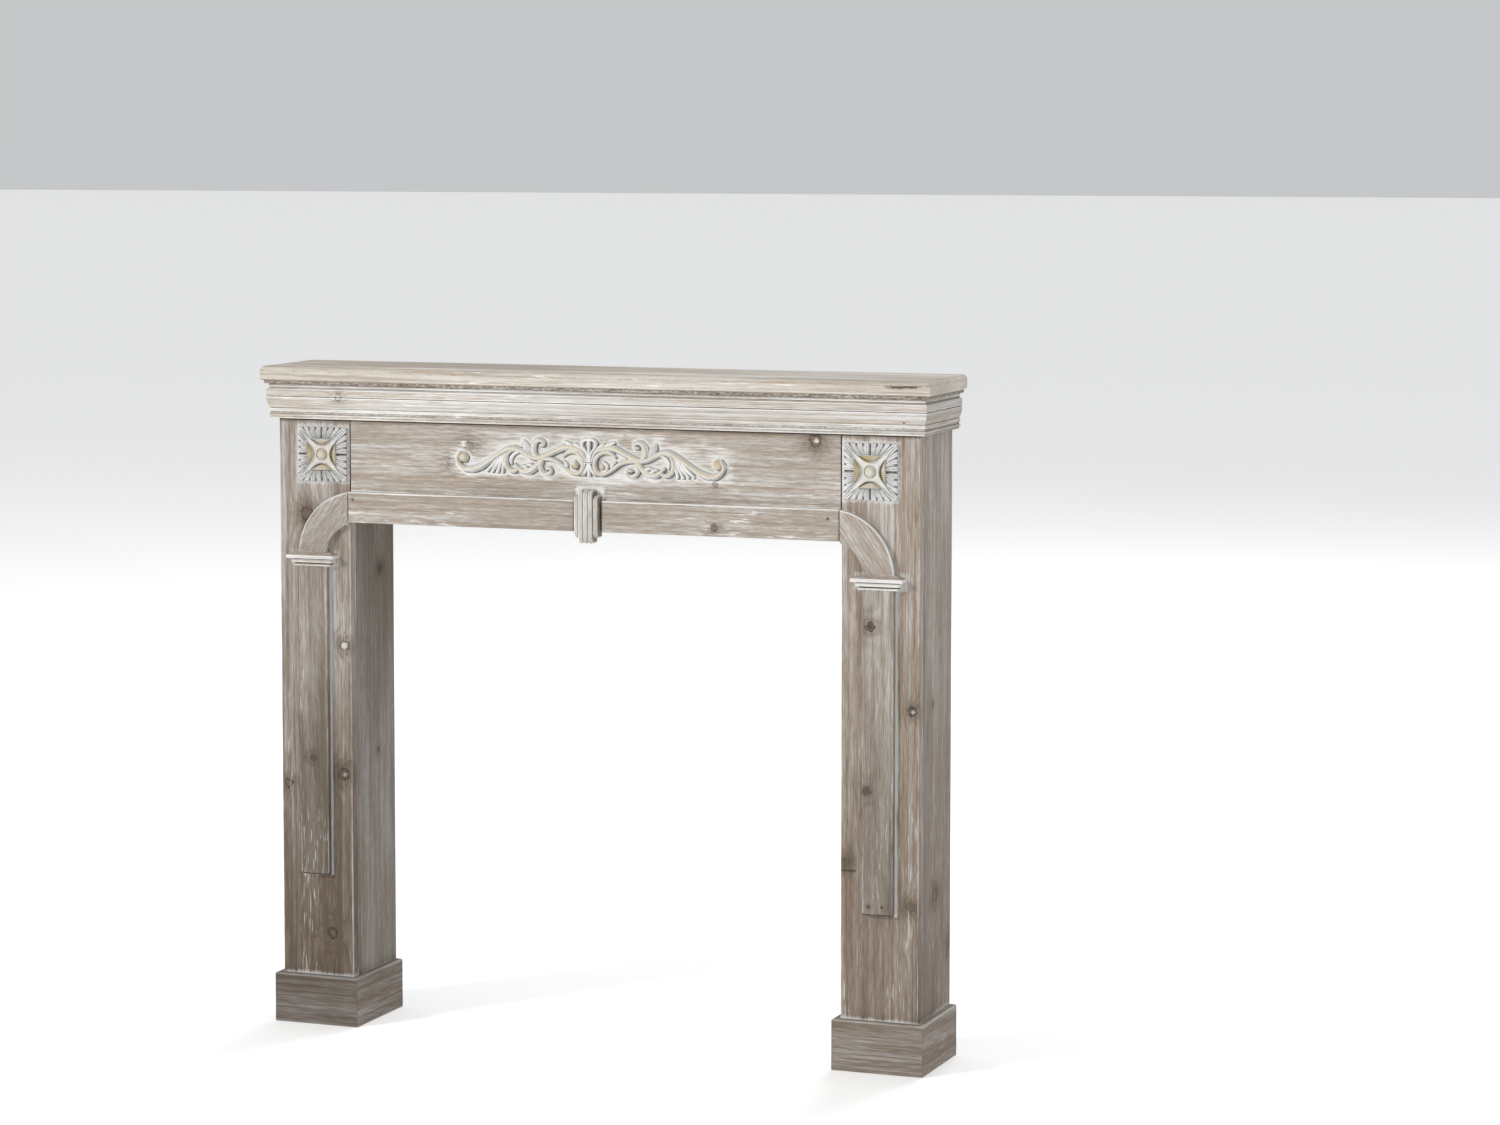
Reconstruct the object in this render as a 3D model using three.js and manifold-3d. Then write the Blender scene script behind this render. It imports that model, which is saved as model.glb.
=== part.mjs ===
import * as THREE from 'three';
import { mergeVertices } from 'three/addons/utils/BufferGeometryUtils.js';
import Module from 'manifold-3d';

// Fireplace mantelpiece in white-washed softwood, millimetres, +Z up.
// X runs along the shelf, the front faces -Y, the back is flush at +Y, the feet stand on Z = 0.

const wasm = await Module();
wasm.setup();

// Body
const overallHeight = 1000;
const bodyWidth = 1013;
const bodyDepth = 151;
const legWidth = 117;
const boardThickness = 18;
const friezeJointGap = 1.5;
const contactGap = 0.3;

// Shelf and its moulded edge, read from the top down
const shelfThickness = 26;
const shelfOverhang = 22;
const shelfNoseInset = 6.5;
const shelfNoseDrop = 8;
const shelfFaceHeight = 11.5;
const shelfCoveInset = 5;
const shelfCoveHeight = 3;
const shelfCoveBow = 0.8;

// Crown moulding under the shelf, read from the bottom up
const crownBackPad = 10;
const crownBeadRise = 2.3;
const crownBeadStart = 3;
const crownBeadHeight = 4.2;
const crownGrooveHeight = 3.4;
const crownFilletRise = 1.8;
const crownFilletHeight = 4.4;
const crownBellyRise = 4.5;
const crownBellyHeight = 17;
const crownQuirkDepth = 1.4;
const crownQuirkHeight = 2.2;
const crownFlatHeight = 10;
const crownCoveDepth = 5;
const crownCoveHeight = 3;
const crownCoveBow = 0.6;
const crownBandDepth = 2;
const crownBandHeight = 5.2;

// Raised surround: rail, quarter rings and pilaster strips share one flat band
const bandWidth = 46;
const bandThickness = 10;
const bandChamfer = 1.2;
const friezeOpenHeight = 108.1;
const arcMeanRadius = 73;
const stripBottomHeight = 230.5;
const arcSegments = 18;

// Capital moulding between quarter ring and strip
const capitalLap = 5.1;
const capitalNeckRise = 6.2;
const capitalNeckHeight = 4.6;
const capitalMidRise = 10;
const capitalMidHeight = 4.4;
const capitalMidStep = 0.8;
const capitalGrooveDepth = 1.6;
const capitalGrooveHeight = 2;
const capitalTopRise = 16.2;
const capitalTopHeight = 4.6;
const capitalSlopeHeight = 6.2;
const capitalFrontSet = 4.3;

// Keystone of upright reeds
const keystoneWidth = 38;
const keystoneReeds = 5;
const keystoneInnerReeds = 3;
const keystoneProud = 21;
const keystoneOuterSet = 2;
const keystoneUnderRail = 17;
const keystoneOverRail = 16.5;
const keystoneOuterStep = 8;
const keystoneCornerRadius = 9;
const keystoneReedChamfer = 1.7;
const keystoneSideGap = 3;

// Carved corner rosettes
const rosetteSize = 84;
const rosetteThickness = 10;
const rosetteInnerMargin = 2.1;
const rosetteTopMargin = 11.1;
const rosetteButtonRadius = 10;
const rosetteLobes = 6;
const rosetteScallop = 1.8;

// Plinth boards round each foot
const plinthHeight = 75;
const plinthThickness = 10.4;
const plinthChamfer = 1.6;

// Scroll ornament in the middle of the frieze
const scrollHalfLength = 214.5;
const scrollOverRail = 55.1;
const scrollRelief = 8.5;
const scrollStep = 7;

// Derived places
const frontY = (shelfOverhang - bodyDepth) / 2;
const backY = frontY + bodyDepth;
const outerX = bodyWidth / 2;
const innerX = outerX - legWidth;
const stripCentreX = innerX + legWidth / 2;
const shelfUnderside = overallHeight - shelfThickness;
const crownHeight = crownBeadStart + crownBeadHeight + crownGrooveHeight + crownFilletHeight
  + crownBellyHeight + crownQuirkHeight + crownFlatHeight + crownCoveHeight + crownBandHeight;
const crownBottom = shelfUnderside - crownHeight;
const railTop = crownBottom - friezeOpenHeight;
const railBottom = railTop - bandWidth;
const arcCentreX = stripCentreX - arcMeanRadius;
const arcCentreHeight = railTop - bandWidth / 2 - arcMeanRadius;
const capitalHeight = capitalNeckHeight + capitalMidStep + capitalMidHeight + capitalGrooveHeight
  + capitalTopHeight + capitalSlopeHeight;
const capitalBottom = arcCentreHeight + capitalLap - capitalHeight;
const keystoneTop = railTop + keystoneOverRail;
const keystoneBottom = railBottom - keystoneUnderRail;
const rosetteCentreX = innerX + rosetteInnerMargin + rosetteSize / 2;
const rosetteCentreHeight = crownBottom - rosetteTopMargin - rosetteSize / 2;
const scrollCentreHeight = railTop + scrollOverRail;
const far = 2 * Math.max(bodyWidth, overallHeight);

// Solids
function toManifold(geometry) {
  const bare = geometry.clone();
  bare.deleteAttribute('normal');
  bare.deleteAttribute('uv');
  const merged = mergeVertices(bare, 1e-4);
  const index = merged.index ? merged.index.array : null;
  return new wasm.Manifold(new wasm.Mesh({
    numProp: 3,
    vertProperties: new Float32Array(merged.attributes.position.array),
    triVerts: new Uint32Array(index),
  }));
}

function toGeometry(manifold) {
  const mesh = manifold.getMesh();
  const geometry = new THREE.BufferGeometry();
  geometry.setAttribute('position', new THREE.BufferAttribute(mesh.vertProperties.slice(), mesh.numProp));
  geometry.setIndex(new THREE.BufferAttribute(mesh.triVerts.slice(), 1));
  geometry.computeVertexNormals();
  return geometry;
}

function block(x0, x1, y0, y1, z0, z1) {
  const geometry = new THREE.BoxGeometry(x1 - x0, y1 - y0, z1 - z0);
  geometry.translate((x0 + x1) / 2, (y0 + y1) / 2, (z0 + z1) / 2);
  return toManifold(geometry);
}

function mirrored(manifold) {
  return manifold.mirror([1, 0, 0]);
}

// Extrudes a closed (rise, height) outline along the front, or along the left or right side
function extrudedEdge(points, core, side) {
  const outline = new THREE.Shape(points.map(([rise, height]) => new THREE.Vector2(rise, height)));
  const along = {
    front: {
      out: [0, -1, 0], run: [-1, 0, 0], start: [far, core.y0, 0],
    },
    left: {
      out: [-1, 0, 0], run: [0, 1, 0], start: [core.x0, -far, 0],
    },
    right: {
      out: [1, 0, 0], run: [0, -1, 0], start: [core.x1, far, 0],
    },
  }[side];
  const geometry = new THREE.ExtrudeGeometry(outline, { depth: 2 * far, bevelEnabled: false });
  const basis = new THREE.Matrix4().makeBasis(
    new THREE.Vector3(...along.out),
    new THREE.Vector3(0, 0, 1),
    new THREE.Vector3(...along.run),
  );
  basis.setPosition(...along.start);
  geometry.applyMatrix4(basis);
  return toManifold(geometry);
}

// Block with one moulded profile mitred round its front and both sides, flat at the back
function mouldedBlock(profile, core) {
  const bottom = profile[0][1];
  const top = profile[profile.length - 1][1];
  const closed = [[-far, bottom], ...profile, [-far, top]];
  const front = extrudedEdge(closed, core, 'front');
  const left = extrudedEdge(closed, core, 'left');
  const right = extrudedEdge(closed, core, 'right');
  const back = block(-far, far, -far, core.y1, bottom, top);
  return front.intersect(left).intersect(right).intersect(back);
}

function planPrism(corners, z0, z1) {
  const outline = new THREE.Shape(corners.map(([x, y]) => new THREE.Vector2(x, y)));
  const geometry = new THREE.ExtrudeGeometry(outline, { depth: z1 - z0, bevelEnabled: false });
  geometry.translate(0, 0, z0);
  return toManifold(geometry);
}

// The same moulding as three boards round a core, with a fine gap at each mitre
function mitredBoards(profile, core, rise) {
  const z0 = profile[0][1];
  const z1 = profile[profile.length - 1][1];
  const ring = mouldedBlock(profile, core).subtract(block(core.x0, core.x1, core.y0, core.y1, z0, z1));
  const reach = rise + contactGap;
  const cut = contactGap / 2;
  const front = planPrism([
    [core.x0 + cut, core.y0],
    [core.x0 + cut - reach, core.y0 - reach],
    [core.x1 - cut + reach, core.y0 - reach],
    [core.x1 - cut, core.y0],
  ], z0, z1);
  const left = planPrism([
    [core.x0, core.y0 + cut],
    [core.x0, core.y1],
    [core.x0 - reach, core.y1],
    [core.x0 - reach, core.y0 + cut - reach],
  ], z0, z1);
  const right = planPrism([
    [core.x1, core.y0 + cut],
    [core.x1 + reach, core.y0 + cut - reach],
    [core.x1 + reach, core.y1],
    [core.x1, core.y1],
  ], z0, z1);
  return {
    front: ring.intersect(front),
    left: ring.intersect(left),
    right: ring.intersect(right),
  };
}

// A profile is built step by step upward as (rise, height) pairs
class Profile {
  constructor(rise, height) {
    this.points = [[rise, height]];
  }

  get last() {
    return this.points[this.points.length - 1];
  }

  line(dRise, dHeight) {
    const [rise, height] = this.last;
    this.points.push([rise + dRise, height + dHeight]);
    return this;
  }

  // Bulges outward for a positive bow and hollows for a negative one
  bow(dRise, dHeight, bow, steps) {
    const [rise, height] = this.last;
    for (let i = 1; i <= steps; i += 1) {
      const t = i / steps;
      const swell = bow * Math.sin(Math.PI * t);
      this.points.push([rise + dRise * t + swell, height + dHeight * t]);
    }
    return this;
  }
}

// Raised flat band standing out of a face at y = faceY, with chamfered front arrises
function raisedBand(shape, thickness, chamfer, faceY, curveSegments) {
  const geometry = new THREE.ExtrudeGeometry(shape, {
    depth: 2 * thickness - 2 * chamfer,
    bevelEnabled: true,
    bevelThickness: chamfer,
    bevelSize: chamfer,
    bevelOffset: -chamfer,
    bevelSegments: 1,
    curveSegments,
  });
  geometry.translate(0, 0, chamfer - thickness);
  geometry.rotateX(Math.PI / 2);
  geometry.translate(0, faceY, 0);
  return toManifold(geometry).intersect(block(-far, far, -far, faceY, -far, far));
}

function rectangle(x0, x1, z0, z1) {
  return new THREE.Shape([
    new THREE.Vector2(x0, z0),
    new THREE.Vector2(x1, z0),
    new THREE.Vector2(x1, z1),
    new THREE.Vector2(x0, z1),
  ]);
}

// Shelf
const shelfProfile = new Profile(shelfOverhang - shelfCoveInset, shelfUnderside)
  .line(0, shelfThickness - shelfNoseDrop - shelfFaceHeight - shelfCoveHeight)
  .bow(shelfCoveInset, shelfCoveHeight, -shelfCoveBow, 3)
  .line(0, shelfFaceHeight)
  .bow(-shelfNoseInset, shelfNoseDrop, shelfNoseInset / 4, 4);
const bodyCore = {
  x0: -outerX, x1: outerX, y0: frontY, y1: backY,
};
const shelf = mouldedBlock(shelfProfile.points, bodyCore);

// Crown moulding
const crownProfile = new Profile(crownBackPad, crownBottom)
  .line(0, crownBeadStart)
  .bow(0, crownBeadHeight, crownBeadRise, 4)
  .line(0, crownGrooveHeight)
  .line(crownFilletRise, 0)
  .line(0, crownFilletHeight)
  .line(-crownFilletRise, 0)
  .bow(crownBellyRise, crownBellyHeight, crownBellyRise / 4, 5)
  .line(-crownQuirkDepth, crownQuirkHeight / 2)
  .line(crownQuirkDepth, crownQuirkHeight / 2)
  .line(0, crownFlatHeight)
  .bow(-crownCoveDepth, crownCoveHeight, -crownCoveBow, 2)
  .line(crownBandDepth, 0)
  .line(0, crownBandHeight);
const crownRise = crownBackPad + Math.max(crownBellyRise * 1.25, crownFilletRise, crownBeadRise);
const crown = mitredBoards(crownProfile.points, bodyCore, crownRise);

// Frieze, stiles and side boards
const friezeBoard = block(
  -innerX + friezeJointGap, innerX - friezeJointGap,
  frontY, frontY + boardThickness, railBottom, shelfUnderside,
);
const stile = block(innerX, outerX, frontY, frontY + boardThickness, 0, shelfUnderside);
const sideOuter = block(
  outerX - boardThickness, outerX, frontY + boardThickness, backY, 0, shelfUnderside,
);
const sideInner = block(
  innerX, innerX + boardThickness, frontY + boardThickness, backY, 0, shelfUnderside,
);

// Rail halves left and right of the keystone
const rail = raisedBand(
  rectangle(
    keystoneWidth / 2 + keystoneSideGap, innerX - friezeJointGap,
    railBottom, railTop,
  ),
  bandThickness, bandChamfer, frontY, 1,
);

// Capitals
const capitalProfile = new Profile(capitalNeckRise, capitalBottom)
  .line(0, capitalNeckHeight)
  .line(capitalMidRise - capitalNeckRise, capitalMidStep)
  .line(0, capitalMidHeight)
  .line(-capitalGrooveDepth, capitalGrooveHeight / 2)
  .line(capitalTopRise - capitalMidRise + capitalGrooveDepth, capitalGrooveHeight / 2)
  .line(0, capitalTopHeight)
  .bow(-capitalTopRise, capitalSlopeHeight, capitalSlopeHeight / 5, 4);
const capitalCore = {
  x0: stripCentreX - bandWidth / 2,
  x1: stripCentreX + bandWidth / 2,
  y0: frontY - capitalFrontSet,
  y1: frontY,
};
const capital = mouldedBlock(capitalProfile.points, capitalCore);

// Quarter rings, cut to sit on the capitals and to meet the rail
const ringShape = new THREE.Shape();
ringShape.absarc(arcCentreX, arcCentreHeight, arcMeanRadius + bandWidth / 2, 0, Math.PI / 2, false);
ringShape.absarc(arcCentreX, arcCentreHeight, arcMeanRadius - bandWidth / 2, Math.PI / 2, 0, true);
const quadrant = raisedBand(ringShape, bandThickness, bandChamfer, frontY, arcSegments)
  .intersect(block(innerX + contactGap, far, -far, far, -far, far))
  .subtract(capital.translate([0, 0, contactGap]));

// Pilaster strips
const strip = raisedBand(
  rectangle(
    stripCentreX - bandWidth / 2, stripCentreX + bandWidth / 2,
    stripBottomHeight, capitalBottom - contactGap,
  ),
  bandThickness, bandChamfer, frontY, 1,
);

// Keystone: reeds side by side, the outer ones shorter and set back
function keystoneReed(x0, x1, proud, z0, z1) {
  const r = keystoneCornerRadius;
  const side = new THREE.Shape();
  side.moveTo(-r, z0);
  side.lineTo(proud - r, z0);
  side.absarc(proud - r, z0 + r, r, -Math.PI / 2, 0, false);
  side.absarc(proud - r, z1 - r, r, 0, Math.PI / 2, false);
  side.lineTo(-r, z1);
  const chamfer = keystoneReedChamfer;
  const geometry = new THREE.ExtrudeGeometry(side, {
    depth: x1 - x0 - 2 * chamfer,
    bevelEnabled: true,
    bevelThickness: chamfer,
    bevelSize: chamfer,
    bevelOffset: -chamfer,
    bevelSegments: 1,
    curveSegments: 4,
  });
  const basis = new THREE.Matrix4().makeBasis(
    new THREE.Vector3(0, -1, 0),
    new THREE.Vector3(0, 0, 1),
    new THREE.Vector3(-1, 0, 0),
  );
  basis.setPosition(x1 - chamfer, frontY, 0);
  geometry.applyMatrix4(basis);
  return toManifold(geometry).intersect(block(-far, far, -far, frontY, -far, far));
}

const reedWidth = keystoneWidth / keystoneReeds;
const reedsPerSide = (keystoneReeds - keystoneInnerReeds) / 2;
let keystone = block(
  -keystoneWidth / 2 + keystoneReedChamfer, keystoneWidth / 2 - keystoneReedChamfer,
  frontY - keystoneProud / 2, frontY,
  keystoneBottom + keystoneOuterStep + keystoneReedChamfer,
  keystoneTop - keystoneOuterStep - keystoneReedChamfer,
);
for (let i = 0; i < keystoneReeds; i += 1) {
  const outer = i < reedsPerSide || i >= keystoneReeds - reedsPerSide;
  const x0 = -keystoneWidth / 2 + i * reedWidth;
  const step = outer ? keystoneOuterStep : 0;
  const proud = keystoneProud - (outer ? keystoneOuterSet : 0);
  const reed = keystoneReed(
    x0, x0 + reedWidth, proud, keystoneBottom + step, keystoneTop - step,
  );
  keystone = keystone.add(reed);
}

// Plinth boards
const legCore = {
  x0: innerX, x1: outerX, y0: frontY, y1: backY,
};
const plinthProfile = new Profile(plinthThickness, 0)
  .line(0, plinthHeight - plinthChamfer)
  .line(-plinthChamfer, plinthChamfer);
const plinth = mitredBoards(plinthProfile.points, legCore, plinthThickness);

// Rosette: a square leaf tile sampled on rings between the button and the scalloped edge.
// Each ring has a reach at the middle of a side, a reach on the diagonal, a curve exponent,
// and the heights of its leaf ridges and valleys as shares of the tile's thickness.
function rosetteGeometry() {
  const half = rosetteSize / 2;
  const button = rosetteButtonRadius / half;
  const rings = [
    { mid: button * 0.7, diagonal: button * 0.7, bend: 0, ridge: 0.96, valley: 0.96 },
    { mid: button, diagonal: button, bend: 0, ridge: 0.78, valley: 0.78 },
    { mid: button * 1.12, diagonal: button * 1.12, bend: 0, ridge: 0.5, valley: 0.5 },
    { mid: 0.36, diagonal: 0.8, bend: 1.6, ridge: 0.62, valley: 0.62 },
    { mid: 0.43, diagonal: 0.87, bend: 1.7, ridge: 0.24, valley: 0.24 },
    { mid: 0.52, diagonal: 0.92, bend: 1.9, ridge: 1, valley: 0.9 },
    { mid: 0.74, diagonal: 0.96, bend: 2.2, ridge: 0.88, valley: 0.56 },
    { mid: 0.98, diagonal: 1, bend: 2.6, ridge: 0.46, valley: 0.3 },
  ];
  const perSide = 4 * rosetteLobes;
  const columns = 4 * perSide;
  const positions = [0, 0, rosetteThickness];
  const ringPoint = (ring, column, isEdge) => {
    const side = Math.floor(column / perSide);
    const j = column % perSide;
    const t = (2 * j) / perSide - 1;
    const odd = j % 2 === 1;
    const onDiagonal = j === 0;
    const onNotch = j === perSide / 2;
    let x = t * ring.diagonal;
    let z = ring.mid + (ring.diagonal - ring.mid) * Math.abs(t) ** ring.bend;
    if (ring.bend === 0) {
      const angle = (t * Math.PI) / 4;
      x = ring.mid * Math.sin(angle);
      z = ring.mid * Math.cos(angle);
    }
    if (isEdge) {
      z = 1 - (odd || onDiagonal ? 0 : rosetteScallop / half);
      x = t * (onDiagonal ? 1 : 0.97);
    }
    let share = odd || onDiagonal ? ring.ridge : ring.valley;
    if (onNotch && ring.ridge !== ring.valley) {
      share = ring.valley * 0.35;
    }
    const turn = (side * Math.PI) / 2;
    return [
      half * (x * Math.cos(turn) + z * Math.sin(turn)),
      half * (-x * Math.sin(turn) + z * Math.cos(turn)),
      rosetteThickness * share,
    ];
  };
  rings.forEach((ring, k) => {
    for (let column = 0; column < columns; column += 1) {
      positions.push(...ringPoint(ring, column, k === rings.length - 1));
    }
  });
  for (let column = 0; column < columns; column += 1) {
    const [x, z] = ringPoint(rings[rings.length - 1], column, true);
    positions.push(x, z, 0);
  }
  const indices = [];
  for (let column = 0; column < columns; column += 1) {
    const next = (column + 1) % columns;
    indices.push(0, 1 + next, 1 + column);
    for (let k = 0; k < rings.length; k += 1) {
      const a = 1 + k * columns + column;
      const b = 1 + k * columns + next;
      const c = a + columns;
      const d = b + columns;
      indices.push(a, b, c, b, d, c);
    }
  }
  // Flat back, fanned from its own centre point
  const backCentre = positions.length / 3;
  positions.push(0, 0, 0);
  const lastRing = 1 + rings.length * columns;
  for (let column = 0; column < columns; column += 1) {
    const next = (column + 1) % columns;
    indices.push(backCentre, lastRing + column, lastRing + next);
  }
  const geometry = new THREE.BufferGeometry();
  geometry.setAttribute('position', new THREE.Float32BufferAttribute(positions, 3));
  geometry.setIndex(indices);
  return geometry;
}

// The relief stands out of the face toward -Y: tile (x, up, height) becomes (X, Z, -Y)
function standing(geometry, x, z) {
  const placed = geometry.clone();
  placed.rotateX(Math.PI / 2);
  placed.translate(x, frontY, z);
  return placed;
}
const rosetteSolid = toManifold(standing(rosetteGeometry(), rosetteCentreX, rosetteCentreHeight));

// Scroll ornament: carved strokes with a rounded back, each a run of (x, height, width, relief).
// Stations and widths are in thousandths of the ornament's half length.
const scrollUnit = scrollHalfLength / 1000;

function stroke(stations) {
  const path = new THREE.CatmullRomCurve3(
    stations.map(([x, z]) => new THREE.Vector3(x, z, 0).multiplyScalar(scrollUnit)),
    false, 'centripetal',
  );
  const wide = new THREE.CatmullRomCurve3(
    stations.map(([, , width, relief = 1], i) => new THREE.Vector3(i, width * scrollUnit, relief)),
  );
  const length = path.getLength();
  const steps = Math.max(3, Math.round(length / scrollStep));
  const section = [[-0.5, 0], [-0.4, 0.62], [0, 1], [0.4, 0.62], [0.5, 0]];
  const positions = [];
  for (let i = 0; i <= steps; i += 1) {
    const t = i / steps;
    const centre = path.getPoint(t);
    const tangent = path.getTangent(t);
    const size = wide.getPoint(t);
    section.forEach(([across, up]) => {
      positions.push(
        centre.x - tangent.y * across * size.y,
        centre.y + tangent.x * across * size.y,
        up * scrollRelief * size.z,
      );
    });
  }
  const n = section.length;
  const indices = [];
  for (let i = 0; i < steps; i += 1) {
    for (let j = 0; j < n; j += 1) {
      const a = i * n + j;
      const b = i * n + ((j + 1) % n);
      indices.push(a, a + n, b, b, a + n, b + n);
    }
  }
  const end = steps * n;
  for (let j = 1; j < n - 1; j += 1) {
    indices.push(0, j, j + 1);
    indices.push(end, end + j + 1, end + j);
  }
  const geometry = new THREE.BufferGeometry();
  geometry.setAttribute('position', new THREE.Float32BufferAttribute(positions, 3));
  geometry.setIndex(indices);
  return toManifold(geometry);
}

function dome(drawnX, drawnZ, drawnRadius, relief, sides) {
  const [x, z, radius] = [drawnX, drawnZ, drawnRadius].map((value) => value * scrollUnit);
  const height = scrollRelief * relief;
  const outline = [
    new THREE.Vector2(0, 0),
    new THREE.Vector2(radius, 0),
    new THREE.Vector2(radius * 0.92, height * 0.55),
    new THREE.Vector2(radius * 0.6, height * 0.9),
    new THREE.Vector2(0, height),
  ];
  const geometry = new THREE.LatheGeometry(outline, sides);
  geometry.rotateX(Math.PI / 2);
  geometry.translate(x, z, 0);
  return toManifold(geometry);
}

// Stations run from the middle of the ornament outward; both halves are mirror images
const scrollStrokes = {
  mainStem: [
    [21, 5, 19, 0.7], [51, 70, 28], [114, 97, 37], [179, 100, 42], [247, 72, 37], [312, 42, 35],
    [378, 21, 33], [434, 28, 33], [494, 61, 35], [569, 82, 37], [643, 54, 35], [716, 7, 35],
    [788, -40, 40], [862, -70, 42], [923, -71, 37], [967, -42, 30], [985, 0, 28], [965, 37, 23],
  ],
  innerRing: [
    [191, 42, 19, 0.6], [154, 68, 28, 0.8], [107, 73, 30], [61, 47, 30], [41, 0, 30],
    [48, -47, 30], [79, -77, 30], [131, -69, 28], [182, -39, 28], [228, -6, 28],
    [280, 14, 28, 0.8], [340, 19, 28, 0.7],
  ],
  innerCurl: [[70, -70, 14, 0.6], [121, -54, 19, 0.7], [133, -19, 19, 0.7], [107, 2, 19, 0.7]],
  innerLeaf: [[168, -49, 14, 0.5], [168, -19, 23, 0.7], [191, 7, 14, 0.4]],
  tipLeaf: [[103, 103, 19, 0.7], [145, 124, 23, 0.8], [184, 140, 14, 0.5]],
  outerFeather: [[21, 9, 14, 0.6], [44, 61, 19, 0.7], [72, 103, 19, 0.7], [105, 124, 21, 0.7]],
  petalLoop: [
    [9, 14, 14, 0.8], [17, 65, 18, 0.8], [48, 105, 21, 0.9], [49, 140, 21, 0.9], [19, 157, 21, 0.9],
    [-5, 156, 19, 0.9],
  ],
  footLeaf: [[7, -5, 14, 0.7], [19, -47, 19, 0.8], [42, -82, 21, 0.8]],
  hookCurl: [
    [373, 19, 23, 0.7], [408, 51, 37, 0.9], [413, 93, 42, 1], [396, 131, 37, 1], [366, 145, 30, 1],
    [338, 133, 26, 0.9], [338, 110, 23, 0.9], [359, 109, 23, 0.8],
  ],
  pineCone: [[438, 37, 23, 0.6], [457, 75, 42, 0.9], [473, 105, 42, 0.9], [487, 131, 23, 0.6]],
  lowerCurl: [
    [340, 19, 23, 0.8], [361, -33, 30, 0.9], [347, -72, 30, 1], [312, -87, 28, 1],
    [283, -72, 26, 0.9], [287, -47, 23, 0.9], [310, -51, 23, 0.8],
  ],
  acanthusCurl: [
    [550, 75, 19, 0.6], [594, 56, 23, 0.8], [618, 14, 33], [613, -37, 33], [587, -68, 30],
    [552, -74, 26], [531, -51, 23, 0.9], [550, -30, 21, 0.8],
  ],
  acanthusInner: [[513, 63, 14, 0.5], [557, 44, 19, 0.6], [583, 9, 21, 0.6], [581, -23, 14, 0.5]],
  lowerLeaf: [[359, 14, 23, 0.7], [387, -33, 37, 0.9], [434, -68, 44], [483, -76, 40], [522, -56, 28, 0.9]],
  leafLobeOne: [[410, -51, 19, 0.8], [431, -30, 23, 0.9], [457, -31, 14, 0.6]],
  leafLobeTwo: [[452, -65, 19, 0.8], [473, -42, 23, 0.9], [499, -40, 14, 0.6]],
  fanOne: [[625, 47, 14, 0.5], [634, -9, 21, 0.7], [646, -82, 19, 0.6]],
  fanTwo: [[634, 47, 14, 0.5], [655, -14, 22, 0.7], [685, -84, 19, 0.6]],
  fanThree: [[648, 42, 14, 0.5], [676, -14, 22, 0.7], [723, -80, 19, 0.6]],
  fanFour: [[667, 33, 14, 0.5], [704, -19, 22, 0.7], [762, -76, 19, 0.6]],
};
const scrollDomes = {
  endDisc: [937, 11, 32, 0.9],
  eye: [100, -22, 23, 0.9],
  footKnob: [44, -82, 14, 0.8],
};

function scrollHalf() {
  let half = null;
  Object.values(scrollStrokes).forEach((stations) => {
    const piece = stroke(stations);
    half = half ? half.add(piece) : piece;
  });
  Object.values(scrollDomes).forEach(([x, z, radius, relief]) => {
    half = half.add(dome(x, z, radius, relief, 14));
  });
  return half;
}

// Collar round the foot of the palmette: two bands over a shorter core, in the same unit
const collar = {
  halfWidth: 23, coreHalfWidth: 20, bandInner: 2, bandOuter: 11, coreHalfHeight: 14,
};

function flatStandingBlock(x0, x1, z0, z1, depth) {
  const geometry = new THREE.BoxGeometry(x1 - x0, z1 - z0, depth);
  geometry.translate((x0 + x1) / 2, (z0 + z1) / 2, depth / 2);
  return toManifold(geometry);
}

function collarBand(halfWidth, low, high, relief) {
  const [x, z0, z1] = [halfWidth, low, high].map((value) => value * scrollUnit);
  return flatStandingBlock(-x, x, z0, z1, scrollRelief * relief);
}

function scrollOrnament() {
  const right = scrollHalf();
  const middle = stroke([[0, 5, 14, 0.7], [0, 65, 19, 0.8], [0, 154, 23, 0.9]])
    .add(stroke([[0, -5, 16, 0.7], [0, -47, 19, 0.8], [0, -89, 23, 0.8]]))
    .add(collarBand(collar.halfWidth, -collar.bandOuter, -collar.bandInner, 0.95))
    .add(collarBand(collar.halfWidth, collar.bandInner, collar.bandOuter, 0.95))
    .add(collarBand(collar.coreHalfWidth, -collar.coreHalfHeight, collar.coreHalfHeight, 0.8));
  const whole = right.add(mirrored(right)).add(middle);
  const wide = 2 * scrollHalfLength;
  const kept = flatStandingBlock(-scrollHalfLength, scrollHalfLength, -wide, wide, scrollRelief);
  return toManifold(standing(toGeometry(whole.intersect(kept)), 0, scrollCentreHeight));
}

// Scene graph
const object = new THREE.Group();

function place(name, manifold, colour) {
  const mesh = new THREE.Mesh(
    toGeometry(manifold),
    new THREE.MeshStandardMaterial({ color: colour, roughness: 0.85, metalness: 0 }),
  );
  mesh.name = name;
  object.add(mesh);
}

const colours = {
  shelf: 0xcfc6bb,
  crown: 0xc3b8ab,
  frieze: 0xb3a899,
  band: 0xb9aea2,
  stile: 0x9c9184,
  side: 0x93887c,
  plinth: 0x8d8276,
  carving: 0xc6bda9,
};

place('shelf', shelf, colours.shelf);
place('crown_front', crown.front, colours.crown);
place('crown_left', crown.left, colours.crown);
place('crown_right', crown.right, colours.crown);
place('frieze_board', friezeBoard, colours.frieze);
place('arch_rail_right', rail, colours.band);
place('arch_rail_left', mirrored(rail), colours.band);
place('keystone', keystone, colours.band);
place('scroll_ornament', scrollOrnament(), colours.carving);

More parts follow.
